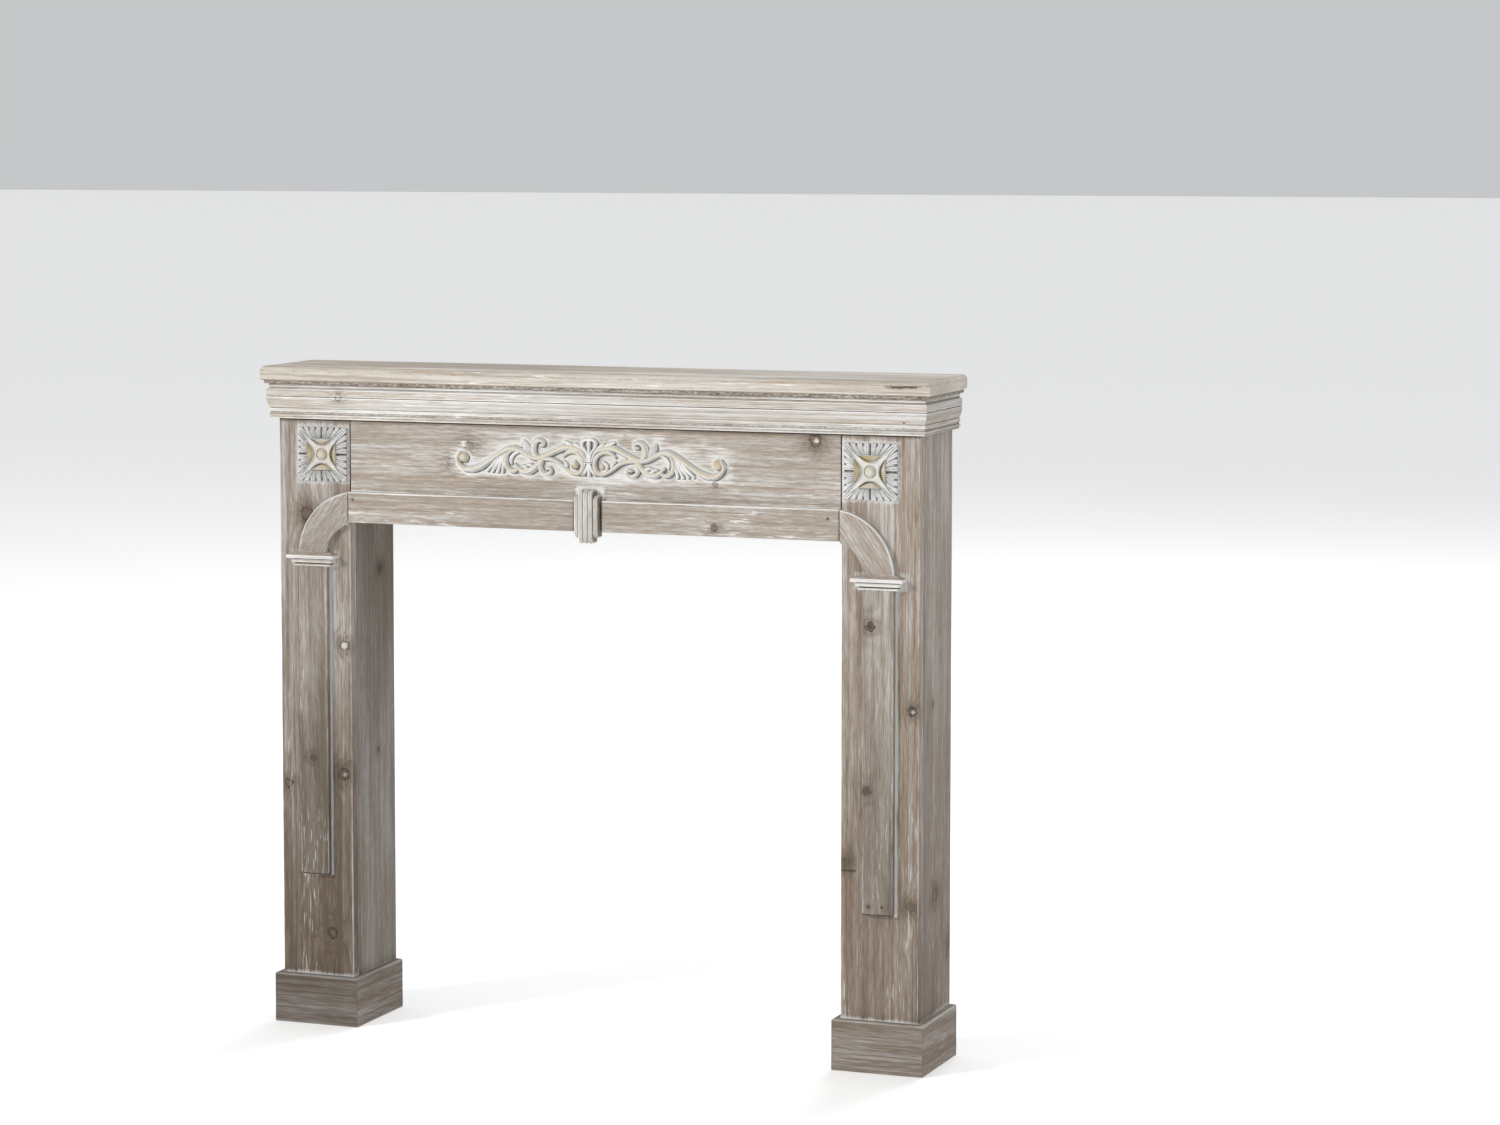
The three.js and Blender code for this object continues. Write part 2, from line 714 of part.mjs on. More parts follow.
const pairedPieces = {
  arch_quadrant: [quadrant, colours.band],
  capital: [capital, colours.band],
  pilaster_strip: [strip, colours.band],
  rosette: [rosetteSolid, colours.carving],
  stile: [stile, colours.stile],
  side_outer: [sideOuter, colours.side],
  side_inner: [sideInner, colours.side],
  plinth_front: [plinth.front, colours.plinth],
  plinth_outer: [plinth.right, colours.plinth],
  plinth_inner: [plinth.left, colours.plinth],
};
Object.entries(pairedPieces).forEach(([name, [piece, colour]]) => {
  place(`${name}_right`, piece, colour);
  place(`${name}_left`, mirrored(piece), colour);
});

export default object;
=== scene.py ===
import math

import bpy
import numpy as np
from mathutils import Matrix, Vector


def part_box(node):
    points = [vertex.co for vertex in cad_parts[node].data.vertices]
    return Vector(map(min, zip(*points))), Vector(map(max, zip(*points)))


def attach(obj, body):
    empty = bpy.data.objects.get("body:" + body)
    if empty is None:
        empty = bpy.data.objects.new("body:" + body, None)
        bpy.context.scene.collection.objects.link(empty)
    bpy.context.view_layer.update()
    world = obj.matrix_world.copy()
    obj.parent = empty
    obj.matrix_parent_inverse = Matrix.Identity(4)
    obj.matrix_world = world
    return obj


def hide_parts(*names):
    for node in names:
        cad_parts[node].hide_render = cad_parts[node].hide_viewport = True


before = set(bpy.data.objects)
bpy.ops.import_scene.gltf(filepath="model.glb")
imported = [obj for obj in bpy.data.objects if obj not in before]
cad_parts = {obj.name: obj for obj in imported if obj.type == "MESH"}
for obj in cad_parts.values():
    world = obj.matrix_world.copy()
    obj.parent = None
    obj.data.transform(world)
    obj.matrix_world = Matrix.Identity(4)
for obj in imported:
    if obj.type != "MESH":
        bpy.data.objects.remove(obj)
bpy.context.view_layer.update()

# Camera: the photographer stood in front and to the right, a little above the shelf, and looked at
# the mantelpiece with a long lens. The focal length is in pixels of the 1500 x 1125 photograph, and
# the principal point lies a little left of and above its middle.
PHOTO_WIDTH, PHOTO_HEIGHT = 1500, 1125
FOCAL_PIXELS = 4158.18
PRINCIPAL = (620.0, 480.0)
CAMERA_PLACE = (2.32894, -5.65854, 1.3794)
CAMERA_TURN = (1.666164, 0.385642, 0.033812)
SENSOR = 36.0

camera_data = bpy.data.cameras.new("camera")
camera_data.sensor_width = SENSOR
camera_data.lens = FOCAL_PIXELS / PHOTO_WIDTH * SENSOR
camera_data.shift_x = (PHOTO_WIDTH / 2 - PRINCIPAL[0]) / PHOTO_WIDTH
camera_data.shift_y = (PRINCIPAL[1] - PHOTO_HEIGHT / 2) / PHOTO_WIDTH
camera_data.clip_end = 100.0
camera = bpy.data.objects.new("camera", camera_data)
bpy.context.scene.collection.objects.link(camera)
turns = [Matrix.Rotation(angle, 3, axis) for angle, axis in zip(CAMERA_TURN, "XYZ")]
world_to_view = turns[2] @ turns[1] @ turns[0]
view_to_world = world_to_view.transposed() @ Matrix.Diagonal((1, -1, -1))
camera.matrix_world = Matrix.Translation(CAMERA_PLACE) @ view_to_world.to_4x4()
bpy.context.scene.camera = camera
bpy.context.scene.view_settings.view_transform = "Standard"


# Studio: a plain pale floor, a large soft key from the upper left of the front, and a broad fill
# from the right, so that the carving throws short soft shadows down and to the right.
def add_node(tree, kind, inputs=None, **settings):
    """Adds a node; an input takes a value, or the socket that feeds it."""
    made = tree.nodes.new(kind)
    for name, value in settings.items():
        setattr(made, name, value)
    for key, value in (inputs or {}).items():
        if isinstance(value, bpy.types.NodeSocket):
            tree.links.new(value, made.inputs[key])
        else:
            made.inputs[key].default_value = value
    return made


FLOOR_HALF, FLOOR_GLOW = 60.0, 0.22
floor_mesh = bpy.data.meshes.new("floor")
floor_corners = [(x * FLOOR_HALF, y * FLOOR_HALF, 0) for x, y in [(-1, -1), (1, -1), (1, 1), (-1, 1)]]
floor_mesh.from_pydata(floor_corners, [], [(0, 1, 2, 3)])
floor = bpy.data.objects.new("floor", floor_mesh)
bpy.context.scene.collection.objects.link(floor)
floor_material = bpy.data.materials.new("pale_floor")
floor_material.use_nodes = True
floor_shader = floor_material.node_tree.nodes["Principled BSDF"]
floor_shader.inputs["Base Color"].default_value = (0.95, 0.948, 0.943, 1)
floor_shader.inputs["Roughness"].default_value = 0.7
floor_shader.inputs["Emission Color"].default_value = (1.0, 1.0, 1.0, 1)
floor_shader.inputs["Emission Strength"].default_value = FLOOR_GLOW
floor_mesh.materials.append(floor_material)

world = bpy.data.worlds.new("studio")
world.use_nodes = True
sky = world.node_tree.nodes["Background"].inputs
sky["Color"].default_value, sky["Strength"].default_value = (0.97, 0.985, 1.0, 1), 0.58
bpy.context.scene.world = world

LAMP_AIM = Vector((0, 0, 0.55))
LAMPS = {  # place, size, power, tint
    "key": ((-5.2, -6.8, 4.7), 1.3, 440.0, (1.0, 0.98, 0.955)),
    "fill": ((6.0, -5.5, 2.4), 3.2, 54.0, (0.98, 0.99, 1.0)),
    "back": ((0.5, 5.0, 5.0), 2.8, 170.0, (1.0, 1.0, 1.0)),
}
for lamp_name, (place, size, power, tint) in LAMPS.items():
    lamp_data = bpy.data.lights.new(lamp_name, "AREA")
    lamp_data.size = size
    lamp_data.energy = power
    lamp_data.color = tint
    lamp = bpy.data.objects.new(lamp_name, lamp_data)
    lamp.location = place
    lamp.rotation_euler = (LAMP_AIM - Vector(place)).to_track_quat("-Z", "Y").to_euler()
    bpy.context.scene.collection.objects.link(lamp)


# Side boards: fir planks that make the hollow legs, rubbed with white lime wash. They stand behind
# the stiles, with the grain upright, and are a little browner than the front.
MM = 0.001
X_AXIS, Y_AXIS, Z_AXIS = 0, 1, 2
GRAIN_TURN = {X_AXIS: (0, 0, 0), Y_AXIS: (0, 0, -math.pi / 2), Z_AXIS: (0, math.pi / 2, 0)}
RING_PITCH = 0.0064
GRAIN_NOISES = {  # cycles a metre along and across the grain, detail, roughness, shift
    "drag": (3.5, 70, 4.0, 0.62, (7, 2, 1)),
    "fibre": (13, 290, 4.0, 0.7, (0, 0, 0)),
    "fine": (75, 620, 3.0, 0.6, (3, 1, 5)),
    "patch": (5, 20, 3.0, 0.6, (1, 9, 4)),
    "dash": (50, 460, 2.0, 0.5, (4, 4, 8)),
    "tick": (26, 560, 2.0, 0.5, (9, 3, 6)),
    "grit": (420, 420, 2.0, 0.5, (2, 8, 3)),
}
SHADE_TINT, RUDDY_TINT, EYE_TINT = (0.62, 0.595, 0.565), (1.08, 0.95, 0.83), (0.38, 0.33, 0.3)
DASH_TINT, RIM_TINT = (1.38, 1.4, 1.42), (1.3, 1.32, 1.34)


def math_node(tree, operation, first, second=0.0, third=None, clamp=False):
    """One Math node; returns its output socket."""
    inputs = {0: first, 1: second}
    if third is not None:
        inputs[2] = third
    return add_node(tree, "ShaderNodeMath", inputs, operation=operation, use_clamp=clamp).outputs[0]


def vector_node(tree, operation, first, second):
    """One Vector Math node; returns its vector."""
    return add_node(tree, "ShaderNodeVectorMath", {0: first, 1: second}, operation=operation).outputs[0]


def ramp_node(tree, value, low, high):
    """Smooth step: 0 below low and 1 above high."""
    return add_node(
        tree, "ShaderNodeMapRange", {0: value, 1: low, 2: high, 3: 0.0, 4: 1.0},
        interpolation_type="SMOOTHSTEP",
    ).outputs[0]


def swung(tree, base, noise, amount):
    """base + amount * (noise - 0.5)."""
    return math_node(tree, "MULTIPLY_ADD", math_node(tree, "SUBTRACT", noise, 0.5), amount, base)


def mix_colours(tree, share, first, second, blend="MIX"):
    """Mixes two colours by a share from 0 to 1."""
    return add_node(
        tree, "ShaderNodeMix", {0: share, 6: first, 7: second}, data_type="RGBA", blend_type=blend,
    ).outputs[2]


def tinted(tree, colour, tint):
    """A colour times a tint of red, green and blue."""
    return mix_colours(tree, 1.0, colour, (*tint, 1), "MULTIPLY")


def stretched_noise(tree, place, scale, detail=3.0, roughness=0.55, shift=(0, 0, 0)):
    """Noise in a space stretched along the grain; scale is in cycles a metre on each axis."""
    mapped = add_node(tree, "ShaderNodeMapping", {"Vector": place, "Location": shift, "Scale": scale})
    return add_node(tree, "ShaderNodeTexNoise", {
        "Vector": mapped.outputs[0], "Scale": 1.0, "Detail": detail, "Roughness": roughness,
    }).outputs[0]


def open_group(name, inputs, outputs):
    """Starts a node group with sockets of (name, kind, default) and (name, kind)."""
    group = bpy.data.node_groups.new(name, "ShaderNodeTree")
    for title, kind, value in inputs:
        socket = group.interface.new_socket(name=title, in_out="INPUT", socket_type="NodeSocket" + kind)
        socket.default_value = value
    for title, kind in outputs:
        group.interface.new_socket(name=title, in_out="OUTPUT", socket_type="NodeSocket" + kind)
    return group, group.nodes.new("NodeGroupInput").outputs, group.nodes.new("NodeGroupOutput").inputs


def limewash_group():
    """Lime-washed fir with its grain along X.

    Growth rings are circles about the pith line y = z = 0, bent by slow noise and by knots. Cover
    says how much lime is left, from bare late wood at 0 to plain lime at 1; it varies in drags and
    fibres along the grain. Dashes fill the open grain. Rim is thick lime in corners and on rubbed
    edges, and along edges it also stands in for a painted highlight. Grime And Shade is grime in a
    joint or a crack, and also painted shade in corners and creases and painted shadow under mouldings.
    """
    group, given, result = open_group("limewashed_fir", [
        ("Place", "Vector", (0, 0, 0)), ("Wood", "Color", (0.3, 0.24, 0.18, 1)),
        ("Late Wood", "Color", (0.16, 0.12, 0.08, 1)), ("Lime", "Color", (0.7, 0.68, 0.65, 1)),
        ("Wash", "Float", 0.5), ("Dashes", "Float", 0.5), ("Rim", "Float", 0.0),
        ("Knot", "Float", 0.0), ("Knot Bend", "Float", 0.0), ("Rings", "Float", 0.5),
        ("Shade", "Float", 0.0), ("Grime And Shade", "Float", 0.0), ("Uneven", "Float", 1.0),
    ], [("Color", "Color"), ("Roughness", "Float"), ("Height", "Float")])
    place = given["Place"]

    slow = add_node(group, "ShaderNodeMapping", {"Vector": place, "Scale": (1.6, 7.0, 7.0)})
    sway = add_node(group, "ShaderNodeTexNoise", {
        "Vector": slow.outputs[0], "Scale": 1.0, "Detail": 2.0,
    })
    centred = vector_node(group, "SUBTRACT", sway.outputs[1], (0.5, 0.5, 0.5))
    swayed = vector_node(group, "MULTIPLY", centred, (0, 0.03, 0.03))
    _, across, deep = add_node(group, "ShaderNodeSeparateXYZ", {
        0: vector_node(group, "ADD", place, swayed),
    }).outputs
    squares = [math_node(group, "POWER", part, 2.0) for part in (across, deep)]
    radius = math_node(group, "SQRT", math_node(group, "ADD", *squares))
    radius = math_node(group, "ADD", radius, given["Knot Bend"])
    wave = math_node(group, "SINE", math_node(group, "MULTIPLY", radius, 2 * math.pi / RING_PITCH))
    rings = math_node(group, "MULTIPLY", ramp_node(group, wave, 0.2, 1.0), given["Rings"])

    drag, fibre, fine, patch, dash, tick, grit = (
        stretched_noise(group, place, (along, across, across), detail, roughness, shift)
        for along, across, detail, roughness, shift in GRAIN_NOISES.values()
    )

    broad = swung(group, swung(group, 0.0, drag, 0.7), patch, 0.8)
    cover = math_node(group, "MULTIPLY_ADD", broad, given["Uneven"], given["Wash"])
    cover = swung(group, swung(group, cover, fibre, 1.0), fine, 1.2)
    cover = math_node(group, "MULTIPLY_ADD", rings, -0.5, cover)
    shade = math_node(group, "MULTIPLY_ADD", given["Knot Bend"], 45.0, given["Shade"], clamp=True)
    cover = math_node(group, "MULTIPLY_ADD", shade, -0.45, cover)
    bare = mix_colours(group, ramp_node(group, cover, -0.15, 0.45), given["Late Wood"], given["Wood"])
    washed = mix_colours(group, ramp_node(group, cover, 0.3, 1.0), bare, given["Lime"])
    washed = mix_colours(group, shade, washed, tinted(group, washed, SHADE_TINT))
    warm = math_node(group, "MULTIPLY_ADD", ramp_node(group, drag, 0.36, 0.54), -0.3, 0.3)
    washed = mix_colours(group, warm, washed, tinted(group, washed, RUDDY_TINT))

    in_patch = ramp_node(group, patch, 0.5, 0.62)
    dashes = math_node(group, "MULTIPLY", ramp_node(group, dash, 0.6, 0.66), in_patch)
    dashes = math_node(group, "MULTIPLY", dashes, given["Dashes"])
    dashed = mix_colours(group, dashes, washed, tinted(group, given["Lime"], DASH_TINT))
    open_grain = math_node(group, "MULTIPLY", ramp_node(group, tick, 0.6, 0.68), 0.45)
    dashed = mix_colours(group, open_grain, dashed, given["Late Wood"])

    rim = swung(group, swung(group, swung(group, given["Rim"], fibre, 0.7), fine, 0.5), patch, 0.9)
    near_rim = ramp_node(group, given["Rim"], 0.0, 0.2)
    rim = math_node(group, "MULTIPLY", ramp_node(group, rim, 0.25, 0.8), near_rim)
    rimmed = mix_colours(group, rim, dashed, tinted(group, given["Lime"], RIM_TINT))
    eye = tinted(group, given["Late Wood"], EYE_TINT)
    knotted = mix_colours(group, given["Knot"], rimmed, eye)
    # Grime in joints and cracks, and painted shade in corners, creases and under mouldings, darkened
    # towards the knot's colour.
    near_dark_mark = ramp_node(group, given["Grime And Shade"], 0.0, 0.25)
    darkening = ramp_node(group, swung(group, given["Grime And Shade"], grit, 0.45), 0.4, 0.75)
    darkened = mix_colours(group, math_node(group, "MULTIPLY", darkening, near_dark_mark), knotted, eye)
    group.links.new(darkened, result["Color"])

    rough = math_node(group, "MULTIPLY_ADD", fibre, 0.25, 0.62)
    group.links.new(rough, result["Roughness"])
    height = math_node(group, "MULTIPLY", fibre, 0.7)
    for part, amount in [(fine, 0.4), (rings, -0.3), (given["Knot"], -0.5)]:
        height = math_node(group, "MULTIPLY_ADD", part, amount, height)
    group.links.new(height, result["Height"])
    return group


limewashed_fir = limewash_group()


def knot_group():
    """A knot: a ring at Radius about Centre, dark inside by Fill; Bend swells the growth rings.

    Both are a little ragged. A knot takes what the one before it gave, so that several can be
    laid on one board.
    """
    group, given, result = open_group("knot", [
        ("Place", "Vector", (0, 0, 0)), ("Centre", "Vector", (0, 0, 0)), ("Radius", "Float", 0.006),
        ("Eye Before", "Float", 0.0), ("Bend Before", "Float", 0.0), ("Dark", "Float", 0.6),
        ("Fill", "Float", 0.7),
    ], [("Eye", "Float"), ("Bend", "Float")])
    away = vector_node(group, "SUBTRACT", given["Place"], given["Centre"])
    ragged = add_node(group, "ShaderNodeTexNoise", {
        "Vector": given["Place"], "Scale": 190.0, "Detail": 3.0,
    })
    distance = add_node(group, "ShaderNodeVectorMath", {0: away}, operation="LENGTH").outputs["Value"]
    share = math_node(group, "DIVIDE", distance, given["Radius"])
    share = swung(group, share, ragged.outputs[0], 1.5)
    disc = math_node(group, "SUBTRACT", 1.0, ramp_node(group, share, 0.55, 0.95))
    edge = math_node(group, "ABSOLUTE", math_node(group, "SUBTRACT", share, 1.0))
    ring = math_node(group, "SUBTRACT", 1.0, ramp_node(group, edge, 0.03, 0.28))
    eye = math_node(group, "MAXIMUM", math_node(group, "MULTIPLY", disc, given["Fill"]), ring)
    eye = math_node(group, "MULTIPLY", eye, given["Dark"])
    eye = math_node(group, "MULTIPLY", eye, 1.35, clamp=True)
    group.links.new(math_node(group, "MAXIMUM", eye, given["Eye Before"]), result["Eye"])
    fall = math_node(group, "POWER", math_node(group, "DIVIDE", share, 2.6), 2.0)
    swell = math_node(group, "EXPONENT", math_node(group, "MULTIPLY", fall, -1.0))
    swell = math_node(group, "MULTIPLY", swell, math_node(group, "MULTIPLY", given["Radius"], 2.2))
    group.links.new(math_node(group, "ADD", swell, given["Bend Before"]), result["Bend"])
    return group


knot = knot_group()


def new_material(name):
    """A material with nodes; returns it, its node tree and the place of a point on the object."""
    material = bpy.data.materials.new(name)
    material.use_nodes = True
    tree = material.node_tree
    return material, tree, add_node(tree, "ShaderNodeTexCoord").outputs["Object"]


def mark_value(tree, mark):
    """The value of a mark that the mesh holds at its points."""
    return add_node(tree, "ShaderNodeAttribute", attribute_name=mark).outputs["Fac"]


def feed_shader(tree, colour, roughness, height, strength, depth, specular):
    """Links colour, roughness and a bump of the height to the material's shader."""
    shader = tree.nodes["Principled BSDF"]
    tree.links.new(colour, shader.inputs["Base Color"])
    tree.links.new(roughness, shader.inputs["Roughness"])
    relief = add_node(tree, "ShaderNodeBump", {
        "Strength": strength, "Distance": depth, "Height": height,
    })
    tree.links.new(relief.outputs[0], shader.inputs["Normal"])
    shader.inputs["Specular IOR Level"].default_value = specular


# Where the painted shadow line under the crown lies: on faces outside these, fading over these widths.
SHADOW_LINE_OUTSIDE, SHADOW_LINE_FRONT, SHADOW_LINE_WIDTHS = 0.506, -0.0635, (0.8 * MM, 3 * MM)


def fir_material(name, axis, pith, colours, wash, dashes, rings, knots=(), turn=None, shaded=None,
                 tone=1.0, shadow_line=None, uneven=1.0, drawn=1.0):
    """Lime-washed fir for one piece: axis is the grain's direction and pith the line it grew about.

    colours are those of wood, late wood and lime. uneven spreads the wash, and drawn stretches the
    pattern along the axis. shaded is (height of none, height of all, amount) of a darker part, and
    shadow_line is the height of a painted shadow: a dark line on the outer faces just under a
    moulding above.
    """
    material, tree, place = new_material(name)
    eye, bend, shade = 0.0, 0.0, 0.0
    for centre, radius, dark, fill in knots:
        eye, bend = add_node(tree, "ShaderNodeGroup", {
            "Place": place, "Centre": centre, "Radius": radius, "Dark": dark, "Fill": fill,
            "Eye Before": eye, "Bend Before": bend,
        }, node_tree=knot).outputs
    grain = add_node(tree, "ShaderNodeMapping", {
        "Vector": place, "Location": pith, "Rotation": turn or GRAIN_TURN[axis],
        "Scale": [1 / drawn if i == axis else 1.0 for i in range(3)],
    })
    x, y, height = add_node(tree, "ShaderNodeSeparateXYZ", {0: place}).outputs
    if shaded:
        height_of_none, height_of_all, amount = shaded
        light = ramp_node(tree, height, height_of_all, height_of_none)
        shade = math_node(tree, "MULTIPLY", math_node(tree, "SUBTRACT", 1.0, light), amount)
    grime_and_shade = mark_value(tree, "grime_and_shade")
    if shadow_line:
        away = math_node(tree, "ABSOLUTE", math_node(tree, "SUBTRACT", height, shadow_line))
        outer = math_node(tree, "GREATER_THAN", math_node(tree, "ABSOLUTE", x), SHADOW_LINE_OUTSIDE)
        outer = math_node(tree, "MAXIMUM", outer, math_node(tree, "LESS_THAN", y, SHADOW_LINE_FRONT))
        line = math_node(tree, "SUBTRACT", outer, ramp_node(tree, away, *SHADOW_LINE_WIDTHS))
        grime_and_shade = math_node(tree, "MAXIMUM", grime_and_shade, line)
    wood, late, lime = ((*[tone * channel for channel in colour], 1) for colour in colours)
    fir = add_node(tree, "ShaderNodeGroup", {
        "Place": grain.outputs[0], "Wood": wood, "Late Wood": late, "Lime": lime, "Wash": wash,
        "Dashes": dashes, "Rim": mark_value(tree, "lime_and_highlight"), "Knot": eye, "Knot Bend": bend,
        "Rings": rings, "Shade": shade, "Grime And Shade": grime_and_shade, "Uneven": uneven,
    }, node_tree=limewashed_fir).outputs
    feed_shader(tree, fir["Color"], fir["Roughness"], fir["Height"], 0.5, 0.8 * MM, 0.25)
    return material


def finished_piece(name, points, faces, material, nodes, marks=None, smooth_angle=38.0):
    """Makes the mesh, turns its faces outward, attaches it to the root and hides its CAD nodes.

    marks holds values of 0 to 1 at the points, such as lime_and_highlight, for the material to read.
    """
    mesh = bpy.data.meshes.new(name)
    mesh.from_pydata(points.tolist(), [], faces)
    mesh.calc_loop_triangles()
    corners = np.zeros(len(mesh.loop_triangles) * 3, np.int32)
    mesh.loop_triangles.foreach_get("vertices", corners)
    a, b, c = (points[corners.reshape(-1, 3)[:, i]] for i in range(3))
    if np.einsum("ij,ij->", a, np.cross(b, c)) < 0:
        mesh.flip_normals()
    for mark, values in (marks or {}).items():
        layer = mesh.attributes.new(mark, "FLOAT", "POINT")
        layer.data.foreach_set("value", np.clip(values, 0.0, 1.0).astype(np.float32))
    mesh.shade_smooth()
    mesh.set_sharp_from_angle(angle=math.radians(smooth_angle))
    mesh.materials.append(material)
    piece = bpy.data.objects.new(name, mesh)
    bpy.context.scene.collection.objects.link(piece)
    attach(piece, "root")
    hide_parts(*nodes)
    return piece


def grid_faces(rows, columns, capped=True):
    """Quads of a rows x columns grid whose last column joins the first, with its two ends capped."""
    down, along = np.meshgrid(np.arange(rows - 1), np.arange(columns), indexing="ij")
    after = (along + 1) % columns
    quads = np.stack([
        down * columns + along, down * columns + after,
        (down + 1) * columns + after, (down + 1) * columns + along,
    ], axis=-1).reshape(-1, 4).tolist()
    if capped:
        quads.append(list(range(columns))[::-1])
        quads.append(list(range((rows - 1) * columns, rows * columns)))
    return quads


def spaced(start, end, step):
    """Evenly spaced values from start to end, about a step apart."""
    return np.linspace(start, end, max(2, int(round(abs(end - start) / step)) + 1))


def rounded_board(lo, hi, axis, arris, step):
    """A plank with rounded arrises: a rounded rectangle carried along the grain.

    Each point is a point of the rectangle shrunk by the arris radius, plus the radius along its
    normal; near the ends the radius turns inward along a quarter circle.
    """
    lo, hi = np.array(lo, float), np.array(hi, float)
    first, second = [i for i in range(3) if i != axis]
    inner_lo, inner_hi = lo + arris, hi - arris
    runs, normals = [], []
    corners = [
        (inner_hi[first], inner_hi[second], 0.0), (inner_lo[first], inner_hi[second], 90.0),
        (inner_lo[first], inner_lo[second], 180.0), (inner_hi[first], inner_lo[second], 270.0),
    ]
    for i, (x, y, angle) in enumerate(corners):
        bend = np.radians(angle + np.array([0.0, 30.0, 60.0, 90.0]))
        runs.append(np.repeat([[x, y]], 4, axis=0))
        normals.append(np.stack([np.cos(bend), np.sin(bend)], axis=1))
        x_next, y_next, _ = corners[(i + 1) % 4]
        count = max(1, int(round(math.hypot(x_next - x, y_next - y) / step)))
        share = (np.arange(1, count) / count)[:, None]
        runs.append(np.array([[x, y]]) * (1 - share) + np.array([[x_next, y_next]]) * share)
        normals.append(np.repeat([[math.cos(bend[3]), math.sin(bend[3])]], count - 1, axis=0))
    run, normal = np.concatenate(runs), np.concatenate(normals)
    turn = np.radians([20.0, 55.0])
    starts = lo[axis] + arris * (1 - np.cos(turn))
    ends = hi[axis] - arris * (1 - np.cos(turn))
    along = np.concatenate([starts, spaced(inner_lo[axis], inner_hi[axis], step), ends[::-1]])
    swell = np.concatenate([np.sin(turn), np.ones(len(along) - 4), np.sin(turn)[::-1]])
    points = np.zeros((len(along), len(run), 3))
    points[..., axis] = along[:, None]
    points[..., first] = run[None, :, 0] + arris * swell[:, None] * normal[None, :, 0]
    points[..., second] = run[None, :, 1] + arris * swell[:, None] * normal[None, :, 1]
    return points.reshape(-1, 3), grid_faces(len(along), len(run))


def fading(distance, reach, power=2.0):
    """exp(-|distance / reach|^power): 1 at no distance, and fading to 0."""
    return np.exp(-np.abs(distance / reach) ** power)


def arris_lime_and_highlight(points, lo, hi, reach):
    """1 on the arrises of a box and fading to 0 within reach: lime gathers on rubbed edges, and the
    white is also a painted highlight along them.
    """
    gaps = np.sort(np.minimum(points - np.array(lo), np.array(hi) - points), axis=1)
    return fading(np.maximum(gaps[:, 1], 0), reach, 1.5)


def plinth_lime(points):
    """Lime in the corner over the plinth: 0.8 * exp(-|up - top| / 5 mm)."""
    return 0.8 * fading(points[:, 2] - PLINTH_TOP, 5 * MM, 1.0)


SHADOW_LINE_HEIGHT, PLINTH_TOP = 0.9205, 0.075
SIDE_COLOURS = (0.27, 0.225, 0.185), (0.18, 0.14, 0.11), (0.42, 0.40, 0.375)
# The inner left board is darker, and darker still at its head under the frieze: both painted shade.
SIDE_TONE = {"side_inner_left": 0.66}
SIDE_SHADE, FOOT_SHADE = {"side_inner_left": (0.35, 0.72, 0.45)}, (0.8, 0.1, 0.6)
SIDE_KNOTS = {  # place, radius, darkness of the knot, and how far its inside is filled
    "side_outer_right": [
        ((0.5065, 0.013, 0.25), 0.008, 0.7, 0.1), ((0.5065, 0.082, 0.165), 0.008, 0.6, 0.5),
        ((0.5065, 0.0, 0.53), 0.004, 0.5, 0.4),
    ],
    "side_inner_left": [
        ((-0.3895, 0.037, 0.688), 0.006, 0.8, 0.6), ((-0.3895, 0.026, 0.41), 0.004, 0.6, 0.5),
    ],
    "side_outer_left": [((-0.5065, 0.04, 0.61), 0.007, 0.8, 0.5)],
    "side_inner_right": [((0.3895, 0.01, 0.44), 0.006, 0.8, 0.5)],
}
for number, name in enumerate(["outer_left", "outer_right", "inner_left", "inner_right"]):
    node = "side_" + name
    lo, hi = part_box(node)
    material = fir_material(
        "lime_fir_" + node, Z_AXIS, (0.37 * number, 0.02, lo[0] + 0.06),
        SIDE_COLOURS, 0.6, 0.4, 0.3, SIDE_KNOTS.get(node, ()), shaded=SIDE_SHADE.get(node, FOOT_SHADE),
        tone=SIDE_TONE.get(node, 1.0), shadow_line=SHADOW_LINE_HEIGHT, uneven=1.4, drawn=1.5,
    )
    points, faces = rounded_board(lo, hi, Z_AXIS, 0.8 * MM, 4 * MM)
    marks = {"lime_and_highlight": np.maximum(0.5 * arris_lime_and_highlight(points, lo, hi, 1.5 * MM), plinth_lime(points))}
    finished_piece(node + "_board", points, faces, material, [node], marks)


# Stiles: the front boards of the legs, full height, of the same fir with the grain upright. They
# are glued over the edges of the side boards. They grow browner towards the foot, and the right
# one is split across a knot at its inner arris.
FRONT = -0.0645
STILE_COLOURS = (0.305, 0.252, 0.207), (0.18, 0.14, 0.11), (0.50, 0.485, 0.46)
# The left leg's darker tone and its stronger darkening at the foot are painted shade.
LEG_TONE, LEG_FOOT_SHADE = {"left": 0.84, "right": 1.0}, {"left": 1.0, "right": 0.6}
RAIL_FOOT, STILE_INSIDE = 0.76, 0.3903
SPLIT_HEIGHT, SPLIT_REACH = 0.291, (0.38, 0.412)
STILE_KNOTS = {
    "left": [
        ((-0.462, FRONT, 0.778), 0.0085, 0.6, 0.05), ((-0.424, FRONT, 0.14), 0.0075, 1.0, 0.1),
        ((-0.424, FRONT, 0.14), 0.006, 1.0, 0.1), ((-0.403, FRONT, 0.384), 0.008, 1.0, 0.4),
        ((-0.401, FRONT, 0.58), 0.007, 0.5, 0.0), ((-0.496, FRONT, 0.366), 0.006, 0.8, 0.4),
    ],
    "right": [
        ((0.497, FRONT, 0.527), 0.006, 0.9, 0.3), ((0.494, FRONT, 0.245), 0.006, 0.4, 0.5),
        ((0.396, FRONT, 0.303), 0.006, 0.4, 0.4),
    ],
}
stiles = {}
